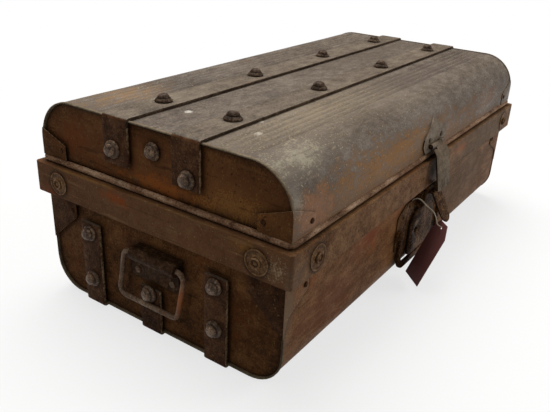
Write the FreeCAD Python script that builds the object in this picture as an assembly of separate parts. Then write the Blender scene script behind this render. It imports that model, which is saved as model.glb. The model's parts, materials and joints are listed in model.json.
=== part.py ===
import FreeCAD, Part
import math
import os

Vector = FreeCAD.Vector

# A pressed-steel travelling trunk, in millimetres. X runs along the trunk's length, the lock
# faces -Y, and Z = 0 is the plane that the three runners stand on, under the trunk's middle.

# Driving dimensions
body_length = 830.0           # lid and base shells, over their rims
base_width = 430.0
lid_overhang = 5.0            # lid past the base, on each long side
base_depth = 208.5            # underside of the base shell to the parting plane
base_edge_radius = 50.0       # long bottom edges
lid_height = 97.5             # parting plane to the flat top
shoulder_radius = 62.0
sheet = 1.6                   # shells, end panels and collar
end_recess = 4.0              # end panels set back behind the shells' rims
fit_gap = 0.3                 # between pieces of bodies that move past each other

collar_end_step = 12.0        # collar past the body's rims
collar_side_step = 15.0       # collar past the base's long sides
collar_height = 47.0
collar_corner_radius = 5.0

flute_count = 5               # pressed along each side of the flat top
flute_depth = 1.1
flute_margin = 9.0            # strap edge to the first flute
flute_end_margin = 6.5        # last flute to the shoulder

bead_radius = 4.7
bead_inset = 0.7              # the bead's centre line inside the lid's outer face
panel_foot_rise = 1.0         # lid end panels above the bead's centre line

lid_strap_width = 46.0
lid_strap_thickness = 4.5
lid_strap_offset = 62.0
lid_strap_foot = 33.0         # strap ends above the parting plane
strap_bend_radius = 6.0
strap_stud_span = 651.2       # between the first and last stud of a strap
strap_stud_count = 4
lid_end_stud_offset = 66.0    # outer studs of the lid's ends, along Y
lid_end_stud_heights = (47.0, 66.0, 55.0)     # front, middle and rear, above the parting plane

runner_width = 38.0
runner_thickness = 5.0
runner_spacing = 119.0
runner_shift = 8.0            # the row of runners sits behind the middle
side_runner_top = 75.0        # runner ends below the parting plane
middle_runner_top = 139.5
front_runner_high_drop = 89.0 # runner studs below the parting plane
front_runner_low_drop = 155.0
middle_runner_drop = 148.0
rear_runner_high_drop = 91.0
rear_runner_low_drop = 168.0

stud_washer_radius = 12.6
stud_washer_edge = 2.4        # upright rim of the washer under its cone
stud_washer_height = 4.6
stud_groove_radius = 9.0      # where the head's flared underside meets the washer's cone
stud_head_radius = 11.0
stud_head_edge = 2.0          # height of the flared underside
stud_height = 12.0
stud_sides = 10

rosette_radius = 18.5
rosette_thickness = 1.4
rosette_sides = 14
rosette_drop = 25.0
rosette_end_inset = 50.0      # from the collar's corner, on the ends
rosette_side_inset = 58.0     # from the collar's corner, on the long sides
rosette_rivet_radius = 8.0
rosette_rivet_height = 3.0

gusset_sheet = 1.4
gusset_reach_end = 57.0       # along the end, from the corner
gusset_reach_side = 54.0      # along the long side, from the corner
gusset_shoulder = 30.0        # height of the leaves' upright outer edges
gusset_drop = 80.0            # below the collar, at the corner
gusset_corner = 8.0
gusset_notch_reach = 11.0     # inner corner of the side leaf's lower edge
gusset_notch_drop = 53.0
gusset_rivet_inset = 8.0
gusset_rivet_drop = 21.0
gusset_rivet_radius = 4.2

patch_sheet = 1.3
patch_height = 51.0           # above the parting plane, at the corner
patch_low_height = 32.0       # and at the leaves' outer edges
patch_reach = 50.0            # along both faces, from the corner
patch_rivet_inset = 40.0
patch_rivet_height = 24.0
patch_rivet_radius = 4.6

handle_shift = -7.0           # hinge barrel's centre along Y
handle_drop = 88.5            # hinge barrel below the parting plane
handle_barrel_length = 84.0
handle_barrel_radius = 9.4
handle_plate_shift = 3.0      # riveted plate's centre along Y
handle_plate_width = 90.0
handle_plate_drop = 44.0      # plate below the barrel's centre
handle_plate_thickness = 2.5
handle_plate_corner = 6.0
handle_neck_drop = 15.0       # barrel's neck meets the plate below the barrel's centre
handle_rivet_spacing = 66.0
handle_rivet_drop = 33.0
handle_rivet_radius = 5.5
bail_wire_radius = 4.0
bail_width = 113.0            # between the side wires' centres
bail_skew = 15.0              # the loop leans to one side by this much over its length
bail_length = 76.5            # barrel centre to the lower wire's centre
bail_top_radius = 11.5
bail_low_radius = 11.0
bail_chords = 3               # straight pieces in each of its bends
bail_standoff = 0.8           # bail to the middle runner behind it
running_clearance = 0.05

lock_centre = 2.0             # hasp, shield plate and lock along X
shield_half_width = 52.0
shield_half_foot = 34.0
shield_top = 65.0             # above the parting plane
shield_waist = 42.0           # height where the point starts
shield_half_waist = 36.0
shield_widest = 29.0
shield_foot = 10.0
shield_side_corner = 12.0
shield_waist_corner = 9.0
shield_sheet = 2.0
shield_rivet_spacing = 48.0
shield_rivet_height = 32.0
shield_rivet_radius = 4.4
shield_rivet_head = 2.0
hasp_width = 51.0
hasp_sheet = 2.4
hasp_pin_height = 22.0
hasp_pin_radius = 1.9
hasp_barrel_radius = 4.2
hasp_barrel_seat = 0.4        # outer barrels sunk into the shield plate they are part of
hasp_middle_knuckle = 25.0
hasp_neck_gap = 1.0           # outer barrels to the leaf's upper edge
hasp_standoff = 6.0           # leaf clear of the collar where it bends down
hasp_bend_height = 9.0        # above the parting plane
hasp_foot_drop = 50.0         # below the parting plane
hasp_lean = 0.19              # outward run over drop, below the bend
hasp_corner_radius = 5.0
staple_bar_radius = 2.2       # loop on the leaf's back that meets the lock box
staple_half_spacing = 8.0
staple_drop = 46.5            # below the parting plane
staple_turn = 4.5

lock_plate_half_width = 96.0
lock_plate_top = 67.0         # below the parting plane
lock_plate_foot = 146.0
lock_plate_sheet = 2.0
lock_plate_corner = 8.0
lock_plate_clip = 26.0        # clipped upper corners, across
lock_plate_clip_drop = 16.0   # and down
lock_rivet_places = ((74.0, 88.0), (54.0, 74.0))
lock_rivet_radius = 3.6
lock_rivet_height = 1.8
lock_box_half_width = 29.0
lock_box_top = 55.0
lock_box_foot = 84.0
lock_box_depth = 14.0
lock_box_chamfer = 5.0
lock_box_crown_half = 17.0    # raised middle of the box, behind the hasp
lock_box_crown = 7.0
lip_half_width = 17.0
lip_sheet = 2.2
lip_top = 57.5
lip_standoff = 8.0            # lip clear of the box at its top bend
lip_foot_drop = 106.5
lip_lean = 0.55               # outward run over drop
lip_foot_radius = 15.0
lock_case_thickness = 4.0
lock_case_half_top = 22.0
lock_case_half_waist = 50.0
lock_case_waist_drop = 106.0
lock_case_foot = 170.5
lock_case_corner = 15.0
keyhole_offset = -24.0
keyhole_drop = 127.0
keyhole_radius = 4.0
keyhole_length = 13.0
loop_half_width = 86.0
loop_bar_width = 11.5
loop_bar_thickness = 5.0
loop_eye_offset = 90.0        # from the lock's middle
loop_eye_radius = 9.0
loop_pivot_drop = 113.0
loop_foot = 184.0
loop_corner_radius = 26.0
loop_boss_radius = 8.0
loop_boss_edge = 3.0
loop_boss_height = 5.5

hinge_spacing = 520.0
hinge_width = 66.0
hinge_leaf_sheet = 2.0
hinge_barrel_radius = 5.5
hinge_pin_radius = 2.5
hinge_middle_knuckle = 24.0
hinge_base_leaf_drop = 40.0
hinge_lid_leaf_height = 52.0
hinge_bead_gap = 0.5          # lid leaf clear of the bead
hinge_joggle_low = 4.0        # lid leaf turns in towards the lid above the bead's top
hinge_joggle_high = 9.0
hinge_joggle_step = 1.0       # inner face turns this much lower
hinge_rivet_radius = 4.0
hinge_base_rivet_reach = 20.0 # from the hinge's middle
hinge_base_rivet_drop = 24.8  # below the hinge's axis
hinge_lid_rivet_reach = 22.0

rivet_head_height = 2.4
rivet_sides = 8
bar_sides = 12
rod_sides = 16
cord_sides = 4

tag_width = 50.0
tag_length = 112.0
tag_thickness = 0.9
tag_corner_cut = 20.0         # clipped corners, along the card
tag_corner_inset = 13.0       # and across it
tag_hole_radius = 2.4
tag_hole_inset = 9.0
tag_foot_aside = 52.8         # lower edge's middle, left of the lock's middle
tag_foot_proud = 20.3         # in front of the lock plate
tag_foot_drop = 205.0         # below the parting plane
tag_turn = -133.9             # heading of the lower edge, degrees
tag_lean = 22.8               # off the vertical, degrees
string_radius = 1.0
knot_radius = 3.0
string_points = (             # from the middle of the lock's face, at the parting plane's height
    (-47.0, 0.7, -66.3), (-48.0, -3.5, -61.5), (-45.0, -9.5, -60.5), (-40.5, -14.5, -65.0),
    (-37.0, -19.0, -71.5), (-33.5, -24.5, -77.0), (-32.0, -31.0, -81.0), (-32.2, -36.5, -86.5),
    (-33.0, -40.0, -94.0), (-32.0, -41.5, -101.5), (-27.7, -44.5, -106.6), (-21.5, -50.4, -110.2),
)

# Derived sizes
parting = runner_thickness + base_depth
half_length = body_length / 2.0
base_half = base_width / 2.0
lid_half = base_half + lid_overhang
collar_half_length = half_length + collar_end_step
collar_half_width = base_half + collar_side_step
lid_top = parting + lid_height
panel_face = half_length - end_recess
collar_foot = parting - collar_height
bead_height = parting + fit_gap + bead_radius
bead_top = bead_height + bead_radius
handle_axis_x = half_length + runner_thickness + bail_standoff + bail_wire_radius
handle_axis_z = parting - handle_drop
shield_outer = lid_half + shield_sheet
hasp_axis_y = -(shield_outer + hasp_barrel_radius - hasp_barrel_seat)
hasp_axis_z = parting + hasp_pin_height
hasp_inner_radius = hasp_barrel_radius - hasp_barrel_seat - fit_gap
hasp_bend_y = -(collar_half_width + hasp_standoff)
lock_face_y = -(base_half + lock_plate_sheet)
lock_box_front = lock_face_y - lock_box_depth
hinge_axis_y = collar_half_width + hinge_barrel_radius + fit_gap
hinge_axis_z = parting


def block(x0, x1, y0, y1, z0, z1):
    """Box between two corners."""
    return Part.makeBox(x1 - x0, y1 - y0, z1 - z0, Vector(x0, y0, z0))


def group(solids):
    """Separate solids kept in one node."""
    return Part.makeCompound(solids)


def line(a, b):
    return Part.LineSegment(a, b).toShape()


def arc(a, middle, b):
    return Part.Arc(a, middle, b).toShape()


def polygon(points):
    """Flat face through a closed run of points."""
    return Part.Face(Part.makePolygon(list(points) + [points[0]]))


def rounded_polygon(points, radii):
    """Flat face through points, each corner rounded by its radius."""
    ends = []
    edges = []
    count = len(points)
    for index in range(count):
        corner = points[index]
        before = (points[index - 1] - corner).normalize()
        after = (points[(index + 1) % count] - corner).normalize()
        radius = radii[index]
        if radius <= 0:
            ends.append((corner, corner))
            continue
        half_turn = before.getAngle(after) / 2.0
        reach = radius / math.tan(half_turn)
        bisector = (before + after).normalize()
        centre = corner + bisector * (radius / math.sin(half_turn))
        entry = corner + before * reach
        leave = corner + after * reach
        edges.append(arc(entry, centre - bisector * radius, leave))
        ends.append((entry, leave))
    for index in range(count):
        leave = ends[index][1]
        entry = ends[(index + 1) % count][0]
        if leave.distanceToPoint(entry) > 1e-6:
            edges.append(line(leave, entry))
    return Part.Face(Part.Wire(Part.__sortEdges__(edges)))


def arch_edges(x, half_width, crown, foot, radius):
    """Edges from one foot over the crown to the other, with rounded shoulders."""
    side = 1.0 if foot > crown else -1.0
    bulge = radius * (1.0 - math.sqrt(0.5))
    edges = []
    for sign in (-1.0, 1.0):
        low = Vector(x, sign * half_width, crown + side * radius)
        middle = Vector(x, sign * (half_width - bulge), crown + side * bulge)
        high = Vector(x, sign * (half_width - radius), crown)
        edges.append(line(Vector(x, sign * half_width, foot), low))
        edges.append(arc(low, middle, high))
    return edges


def arch_face(x, half_width, crown, foot, radius, flutes=()):
    """Arch closed along its foot; each flute is a shallow arc pressed into the crown."""
    edges = arch_edges(x, half_width, crown, foot, radius)
    reach = half_width - radius
    place = -reach
    for start, end in flutes:
        if start - place > 1e-6:
            edges.append(line(Vector(x, place, crown), Vector(x, start, crown)))
        low = Vector(x, (start + end) / 2.0, crown - flute_depth)
        edges.append(arc(Vector(x, start, crown), low, Vector(x, end, crown)))
        place = end
    edges.append(line(Vector(x, place, crown), Vector(x, reach, crown)))
    edges.append(line(Vector(x, -half_width, foot), Vector(x, half_width, foot)))
    return Part.Face(Part.Wire(Part.__sortEdges__(edges)))


def flute_spans():
    """Where the flutes lie across the top, from front to rear."""
    first = lid_strap_offset + lid_strap_width / 2.0 + flute_margin
    pitch = (lid_half - shoulder_radius - flute_end_margin - first) / flute_count
    rear = [(first + pitch * i, first + pitch * (i + 1)) for i in range(flute_count)]
    front = [(-end, -start) for start, end in reversed(rear)]
    return front + rear


def rounded_block(half_x, half_y, z0, z1, radius):
    """Upright block with rounded vertical corners."""
    corners = [
        Vector(-half_x, -half_y, z0), Vector(half_x, -half_y, z0),
        Vector(half_x, half_y, z0), Vector(-half_x, half_y, z0),
    ]
    face = rounded_polygon(corners, [radius] * 4)
    return face.extrude(Vector(0, 0, z1 - z0))


def faceted_solid(rings, closed=False):
    """Solid with flat faces between rings of points; an open run of rings is capped at both ends."""
    pairs = list(zip(rings, rings[1:]))
    faces = []
    if closed:
        pairs.append((rings[-1], rings[0]))
    else:
        faces = [polygon(rings[0]), polygon(rings[-1])]
    for low, high in pairs:
        faces += [polygon([low[k - 1], low[k], high[k], high[k - 1]]) for k in range(len(low))]
    shell = Part.Shell(faces)
    shell.sewShape()
    solid = Part.Solid(shell)
    if solid.Volume < 0:
        solid.reverse()
    return solid


def turned(outline, place, direction, sides):
    """Faceted turned piece: (radius, height) points round an outward direction."""
    turn = FreeCAD.Rotation(Vector(0, 0, 1), direction)
    step = 2.0 * math.pi / sides
    rings = []
    for radius, height in outline:
        spokes = [
            Vector(radius * math.cos(step * k), radius * math.sin(step * k), height) for k in range(sides)
        ]
        rings.append([place + turn.multVec(spoke) for spoke in spokes])
    return faceted_solid(rings)


def rod(start, direction, radius, length):
    """Many-sided bar from a start point along a direction, inside a radius."""
    return turned([(radius, 0), (radius, length)], start, direction, rod_sides)


def bore(start, direction, radius, length):
    """Many-sided hole that leaves a radius free all round."""
    return rod(start, direction, (radius + running_clearance) / math.cos(math.pi / rod_sides), length)


def dome(radius, low, rise, steps):
    """Outline points of a spherical cap from its rim towards the axis, ending in a small flat."""
    sphere = (radius ** 2 + rise ** 2) / (2.0 * rise)
    rim_angle = math.asin(radius / sphere)
    angles = [rim_angle * (1.0 - step / (steps + 0.5)) for step in range(1, steps + 1)]
    return [
        (sphere * math.sin(angle), low + rise - sphere * (1.0 - math.cos(angle))) for angle in angles
    ]


def stud(place, direction):
    """Domed head over a groove on a flared washer."""
    rim = stud_washer_height + stud_head_edge
    outline = [
        (stud_washer_radius, 0), (stud_washer_radius, stud_washer_edge),
        (stud_groove_radius, stud_washer_height), (stud_head_radius, rim),
    ]
    outline += dome(stud_head_radius, rim, stud_height - rim, 2)
    return turned(outline, place, direction, stud_sides)


def rivet(place, direction, radius, height=rivet_head_height):
    """Low domed rivet head."""
    return turned([(radius, 0)] + dome(radius, 0, height, 2), place, direction, rivet_sides)


def bend_at(points, index, radius):
    """Entry, leave, centre, axis and turn in degrees of the bend at a corner of a route."""
    corner = points[index]
    before = (points[index - 1] - corner).normalize()
    after = (points[(index + 1) % len(points)] - corner).normalize()
    half_angle = before.getAngle(after) / 2.0
    reach = radius / math.tan(half_angle)
    centre = corner + (before + after).normalize() * (radius / math.sin(half_angle))
    turn = 180.0 - math.degrees(2.0 * half_angle)
    return corner + before * reach, corner + after * reach, centre, after.cross(before), turn


def chord_route(points, radii, chords):
    """Route whose rounded corners are cut into equal chords; a corner without a radius stays."""
    route = []
    for index, radius in enumerate(radii):
        if radius <= 0:
            route.append(points[index])
            continue
        entry, leave, centre, axis, turn = bend_at(points, index, radius)
        for chord in range(chords + 1):
            swing = FreeCAD.Rotation(axis, turn * chord / chords)
            route.append(centre + swing.multVec(entry - centre))
    return route


def mitred_bar(route, bar_radius, sides, closed=False):
    """Many-sided bar along a route, mitred at each of its points."""
    count = len(route)
    last = count if closed else count - 1
    travel = [(route[(index + 1) % count] - route[index]).normalize() for index in range(last)]
    spoke = travel[0].cross(travel[1]).normalize() * bar_radius
    arms = [FreeCAD.Rotation(travel[0], 360.0 * k / sides).multVec(spoke) for k in range(sides)]
    rings = [] if closed else [[route[0] + arm for arm in arms]]
    for index in range(1, last + 1 if closed else last):
        arrive = travel[index - 1]
        onward = travel[index % count]
        mitre = arrive + onward
        arms = [arm - arrive * (arm.dot(mitre) / arrive.dot(mitre)) for arm in arms]
        rings.append([route[index % count] + arm for arm in arms])
        arms = [arm - onward * arm.dot(onward) for arm in arms]
    if not closed:
        rings.append([route[-1] + arm for arm in arms])
    return faceted_solid(rings, closed)


def cord_tube(points, radii, cord_radius, sides):
    """Many-sided tube along straight runs joined by tangent arcs."""
    start = points[0]
    spoke = (points[1] - start).cross(points[2] - start).normalize() * cord_radius
    pieces = []
    for index in range(1, len(points)):
        inside = index < len(points) - 1
        bend = bend_at(points, index, radii[index]) if inside else (points[-1],)
        run = bend[0] - start
        section = polygon([
            start + FreeCAD.Rotation(run, 360.0 * k / sides).multVec(spoke) for k in range(sides)
        ])
        pieces.append(section.extrude(run))
        if inside:
            entry, leave, centre, axis, turn = bend
            section.translate(run)
            pieces.append(section.revolve(centre, axis, turn))
            spoke = FreeCAD.Rotation(axis, turn).multVec(spoke)
            start = leave
    return pieces[0].multiFuse(pieces[1:]).removeSplitter()


def limp_radii(points):
    """Bend radii of a limp cord: as large as the runs beside each corner allow."""
    radii = [0.0] * len(points)
    for index in range(1, len(points) - 1):
        before = points[index - 1] - points[index]
        after = points[index + 1] - points[index]
        half_angle = before.getAngle(after) / 2.0
        radii[index] = 0.45 * min(before.Length, after.Length) * math.tan(half_angle)
    return radii


def mirrored_x(shape):
    return shape.mirror(Vector(0, 0, 0), Vector(1, 0, 0))


def mirrored_y(shape):
    return shape.mirror(Vector(0, 0, 0), Vector(0, 1, 0))


# Shells and end panels

def wrapped_shell(half_width, crown, foot, radius, flutes):
    """Sheet wrapped over the crown, open at the foot and at both ends."""
    inward = sheet if foot > crown else -sheet
    outer = arch_face(-half_length, half_width, crown, foot, radius, flutes)
    inner = arch_face(-half_length, half_width - sheet, crown + inward, foot, radius - sheet, flutes)
    face = outer.cut(inner)
    return face.extrude(Vector(body_length, 0, 0))


def end_panel(half_width, crown, foot, radius):
    """Panel behind the left rim with its lip turned outwards inside the shell."""
    inward = sheet if foot > crown else -sheet
    fill = arch_face(-half_length, half_width - sheet, crown + inward, foot, radius - sheet)
    hollow = arch_face(
        -half_length, half_width - 2 * sheet, crown + 2 * inward, foot, radius - 2 * sheet
    )
    tray = fill.extrude(Vector(end_recess + sheet, 0, 0))
    return tray.cut(hollow.extrude(Vector(end_recess, 0, 0)))


def make_base_shell():
    return wrapped_shell(base_half, runner_thickness, parting, base_edge_radius, ())


def make_base_end():
    return end_panel(base_half, runner_thickness, parting, base_edge_radius)


def make_lid_bead():
    """Bead with mitred corners round the lid's lower edge."""
    half_x = half_length - bead_inset
    half_y = lid_half - bead_inset
    corners = [
        Vector(-half_x, -half_y, bead_height), Vector(half_x, -half_y, bead_height),
        Vector(half_x, half_y, bead_height), Vector(-half_x, half_y, bead_height),
    ]
    return mitred_bar(corners, bead_radius, bar_sides, closed=True)


def make_lid_shell(bead):
    shell = wrapped_shell(lid_half, lid_top, bead_height, shoulder_radius, flute_spans())
    return shell.cut(bead)


def make_lid_end(bead):
    """Panel whose lip runs under the flutes and whose foot rests on the bead."""
    foot = bead_height + panel_foot_rise
    return end_panel(lid_half, lid_top - flute_depth, foot, shoulder_radius).cut(bead)


def make_collar(shell, ends):
    """Pressed channel, open towards the base, whose flanges meet the base all round."""
    outer = rounded_block(
        collar_half_length, collar_half_width, collar_foot, parting, collar_corner_radius
    )
    web = rounded_block(
        collar_half_length - sheet, collar_half_width - sheet, collar_foot + sheet,
        parting - sheet, collar_corner_radius - sheet
    )
    middle = block(-panel_face, panel_face, -base_half, base_half, collar_foot, parting)
    return outer.cut(web).cut(middle).cut(group([shell] + ends))


# Straps, runners and studs

def lengthwise_strap(centre_y, width, low, high, foot, bend):
    """Strap along the trunk, over its flat face and down or up both ends."""
    outer = half_length + (high - low)
    near, far = (low, high) if foot < low else (high, low)
    corners = [
        Vector(-outer, 0, foot), Vector(-outer, 0, far), Vector(outer, 0, far), Vector(outer, 0, foot),
        Vector(half_length, 0, foot), Vector(half_length, 0, near),
        Vector(-half_length, 0, near), Vector(-half_length, 0, foot),
    ]
    face = rounded_polygon(corners, [0, bend, bend, 0, 0, 0, 0, 0])
    strap = face.extrude(Vector(0, width, 0))
    strap.translate(Vector(0, centre_y - width / 2.0, 0))
    return strap


def make_lid_strap(side):
    return lengthwise_strap(
        side * lid_strap_offset, lid_strap_width, lid_top, lid_top + lid_strap_thickness,
        parting + lid_strap_foot, strap_bend_radius
    )


def make_runner(row):
    top = middle_runner_top if row == 0 else side_runner_top
    return lengthwise_strap(
        runner_shift + row * runner_spacing, runner_width, 0.0, runner_thickness,
        parting - top, runner_thickness
    )


def make_strap_studs(side):
    """Studs spaced evenly along one lid strap."""
    step = strap_stud_span / (strap_stud_count - 1)
    height = lid_top + lid_strap_thickness
    return group([
        stud(Vector(-strap_stud_span / 2.0 + step * i, side * lid_strap_offset, height), Vector(0, 0, 1))
        for i in range(strap_stud_count)
    ])


def make_lid_end_studs():
    """Two studs on the strap ends and one on the panel between them, at the left end."""
    solids = []
    for side, height in zip((-1, 0, 1), lid_end_stud_heights):
        face = half_length + lid_strap_thickness if side else panel_face
        place = Vector(-face, side * lid_end_stud_offset, parting + height)
        solids.append(stud(place, Vector(-1, 0, 0)))
    return group(solids)


def make_runner_studs():
    """Studs on the runners' upturned ends, at the left end."""
    face = -(half_length + runner_thickness)
    rows = {
        -1: (front_runner_high_drop, front_runner_low_drop), 0: (middle_runner_drop,),
        1: (rear_runner_high_drop, rear_runner_low_drop),
    }
    solids = []
    for row, drops in rows.items():
        y = runner_shift + row * runner_spacing
        solids += [stud(Vector(face, y, parting - drop), Vector(-1, 0, 0)) for drop in drops]
    return group(solids)


# Collar trim and corner pieces

def rosette_sites():
    """Point and outward direction of each rosette on the collar."""
    sites = []
    height = parting - rosette_drop
    for sx in (-1.0, 1.0):
        for sy in (-1.0, 1.0):
            on_end = Vector(sx * collar_half_length, sy * (collar_half_width - rosette_end_inset), height)
            on_side = Vector(sx * (collar_half_length - rosette_side_inset), sy * collar_half_width, height)
            sites.append((on_end, Vector(sx, 0, 0)))
            sites.append((on_side, Vector(0, sy, 0)))
    return sites


def make_rosettes():
    outline = [(rosette_radius, 0), (rosette_radius, rosette_thickness)]
    return group([turned(outline, place, direction, rosette_sides) for place, direction in rosette_sites()])


def make_rosette_rivets():
    return group([
        rivet(place + direction * rosette_thickness, direction, rosette_rivet_radius, rosette_rivet_height)
        for place, direction in rosette_sites()
    ])


def make_gusset():
    """Front left corner plate under the collar, one leaf on the end and one on the side."""
    corner = Vector(-half_length - gusset_sheet, -base_half - gusset_sheet, collar_foot)
    end_points = [(0, 0), (gusset_reach_end, 0), (gusset_reach_end, gusset_shoulder), (0, gusset_drop)]
    end_leaf = rounded_polygon(
        [corner + Vector(0, along, -drop) for along, drop in end_points], [0, 0, gusset_corner, 0]
    )
    side_points = [
        (0, 0), (gusset_reach_side, 0), (gusset_reach_side, gusset_shoulder),
        (gusset_notch_reach, gusset_notch_drop), (0, gusset_drop),
    ]
    side_leaf = rounded_polygon(
        [corner + Vector(along, 0, -drop) for along, drop in side_points], [0, 0, 0, 0, 0]
    )
    end_leaf = end_leaf.extrude(Vector(gusset_sheet, 0, 0))
    return end_leaf.fuse(side_leaf.extrude(Vector(0, gusset_sheet, 0))).removeSplitter()


def make_gusset_rivets():
    """One rivet in each leaf of each gusset."""
    height = collar_foot - gusset_rivet_drop
    end_y = base_half + gusset_sheet - gusset_reach_end + gusset_rivet_inset
    side_x = half_length + gusset_sheet - gusset_reach_side + gusset_rivet_inset
    solids = []
    for sx in (-1.0, 1.0):
        for sy in (-1.0, 1.0):
            on_end = Vector(sx * (half_length + gusset_sheet), sy * end_y, height)
            on_side = Vector(sx * side_x, sy * (base_half + gusset_sheet), height)
            solids.append(rivet(on_end, Vector(sx, 0, 0), gusset_rivet_radius))
            solids.append(rivet(on_side, Vector(0, sy, 0), gusset_rivet_radius))
    return group(solids)


def lid_skin(x, length, thickness):
    """Layer of a given thickness over the lid's front, shoulders and top, along part of its length."""
    outer = arch_face(x, lid_half + thickness, lid_top + thickness, bead_top, shoulder_radius + thickness)
    inner = arch_face(x, lid_half, lid_top, bead_top, shoulder_radius)
    return outer.cut(inner).extrude(Vector(length, 0, 0))


def make_patch():
    """Front left lid corner plate above the bead, folded round the rim and up the shoulder."""
    x = -half_length - patch_sheet
    corner = Vector(x, -lid_half - patch_sheet, bead_top)
    low = patch_low_height + parting - bead_top
    high = patch_height + parting - bead_top
    outline = [(0, 0), (patch_reach, 0), (patch_reach, low), (0, high)]
    end_mask = polygon([corner + Vector(0, along, rise) for along, rise in outline])
    end_arch = arch_face(
        x, lid_half + patch_sheet, lid_top + patch_sheet, bead_top, shoulder_radius + patch_sheet
    )
    end_leaf = end_mask.common(end_arch).extrude(Vector(patch_sheet, 0, 0))
    side_mask = polygon([corner + Vector(along, 0, rise) for along, rise in outline])
    side_prism = side_mask.extrude(Vector(0, shoulder_radius, 0))
    side_leaf = side_prism.common(lid_skin(x, patch_reach, patch_sheet))
    return end_leaf.fuse(side_leaf).removeSplitter()


def make_patch_rivets():
    """One rivet in each leaf of each lid corner plate."""
    height = parting + patch_rivet_height
    solids = []
    for sx in (-1.0, 1.0):
        for sy in (-1.0, 1.0):
            on_end = Vector(sx * (half_length + patch_sheet), sy * (lid_half - patch_rivet_inset), height)
            on_side = Vector(sx * (half_length - patch_rivet_inset), sy * (lid_half + patch_sheet), height)
            solids.append(rivet(on_end, Vector(sx, 0, 0), patch_rivet_radius))
            solids.append(rivet(on_side, Vector(0, sy, 0), patch_rivet_radius))
    return group(solids)


# End handles

def make_handle_plate():
    """Left handle plate rolled into a barrel that the bail turns in."""
    back = -panel_face
    front = back - handle_plate_thickness
    half_plate = handle_plate_width / 2.0
    near = handle_plate_shift - half_plate
    far = handle_plate_shift + half_plate
    plate_points = [
        Vector(back, near, handle_axis_z - handle_plate_drop),
        Vector(back, far, handle_axis_z - handle_plate_drop),
        Vector(back, far, handle_axis_z), Vector(back, near, handle_axis_z),
    ]
    plate = rounded_polygon(plate_points, [handle_plate_corner, handle_plate_corner, 0, 0])
    plate = plate.extrude(Vector(-handle_plate_thickness, 0, 0))
    start = handle_shift - handle_barrel_length / 2.0
    barrel = rod(
        Vector(-handle_axis_x, start, handle_axis_z), Vector(0, 1, 0),
        handle_barrel_radius, handle_barrel_length
    )
    neck_points = [
        Vector(back, start, handle_axis_z + handle_barrel_radius),
        Vector(-handle_axis_x, start, handle_axis_z + handle_barrel_radius),
        Vector(-handle_axis_x, start, handle_axis_z),
        Vector(front, start, handle_axis_z - handle_neck_drop),
        Vector(back, start, handle_axis_z - handle_neck_drop),
    ]
    neck = polygon(neck_points).extrude(Vector(0, handle_barrel_length, 0))
    hole = bore(
        Vector(-handle_axis_x, start - 1.0, handle_axis_z), Vector(0, 1, 0),
        bail_wire_radius, handle_barrel_length + 2.0
    )
    return plate.multiFuse([barrel, neck]).cut(hole).removeSplitter()


def make_handle_rivets():
    face = panel_face + handle_plate_thickness
    height = handle_axis_z - handle_rivet_drop
    return group([
        rivet(
            Vector(sx * face, handle_plate_shift + sy * handle_rivet_spacing / 2.0, height),
            Vector(sx, 0, 0), handle_rivet_radius
        )
        for sx in (-1.0, 1.0) for sy in (-1.0, 1.0)
    ])


def make_bail():
    """Left handle: a closed loop of round bar, pulled askew, whose top turns inside the barrel."""
    half = bail_width / 2.0
    x = -handle_axis_x
    low = handle_axis_z - bail_length
    corners = [
        Vector(x, handle_shift - half, handle_axis_z),
        Vector(x, handle_shift - half + bail_skew, low),
        Vector(x, handle_shift + half + bail_skew, low),
        Vector(x, handle_shift + half, handle_axis_z),
    ]
    radii = [bail_top_radius, bail_low_radius, bail_low_radius, bail_top_radius]
    return mitred_bar(chord_route(corners, radii, bail_chords), bail_wire_radius, bar_sides, closed=True)


# Hasp on the lid

def knuckles(centre_x, width, middle_width, axis_y, axis_z, radius, middle_radius):
    """Middle barrel and the two outer barrels of a hinge, with a gap between them."""
    left = centre_x - width / 2.0
    side_length = (width - middle_width) / 2.0 - fit_gap
    middle = rod(
        Vector(centre_x - middle_width / 2.0, axis_y, axis_z), Vector(1, 0, 0), middle_radius, middle_width
    )
    sides = [
        rod(Vector(x, axis_y, axis_z), Vector(1, 0, 0), radius, side_length)
        for x in (left, left + width - side_length)
    ]
    return middle, sides


def hasp_knuckles():
    return knuckles(
        lock_centre, hasp_width, hasp_middle_knuckle, hasp_axis_y, hasp_axis_z,
        hasp_barrel_radius, hasp_inner_radius
    )


def hasp_bore():
    return bore(
        Vector(lock_centre - hasp_width, hasp_axis_y, hasp_axis_z), Vector(1, 0, 0),
        hasp_pin_radius, 2 * hasp_width
    )


def make_hasp_plate():
    """Shield with a pointed top, bent over the lid's shoulder, and its two hinge barrels."""
    half_outline = [
        (shield_half_foot, shield_foot), (shield_half_width, shield_widest),
        (shield_half_waist, shield_waist), (0, shield_top),
    ]
    outline = half_outline + [(-across, height) for across, height in half_outline[2::-1]]
    y = -lid_half - 2 * shield_sheet
    corners = [Vector(lock_centre + across, y, parting + height) for across, height in outline]
    radii = [0, shield_side_corner, shield_waist_corner, 0, shield_waist_corner, shield_side_corner, 0]
    mask = rounded_polygon(corners, radii)
    prism = mask.extrude(Vector(0, shoulder_radius, 0))
    plate = prism.common(lid_skin(-half_length, body_length, shield_sheet))
    return plate.multiFuse(hasp_knuckles()[1]).cut(hasp_bore()).removeSplitter()


def make_hasp_pin():
    return rod(
        Vector(lock_centre - hasp_width / 2.0, hasp_axis_y, hasp_axis_z), Vector(1, 0, 0),
        hasp_pin_radius, hasp_width
    )


def hasp_inner_y(drop):
    """Inner face of the leaf's leaning part at a depth below the parting plane."""
    return hasp_bend_y - (drop + hasp_bend_height) * hasp_lean


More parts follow.
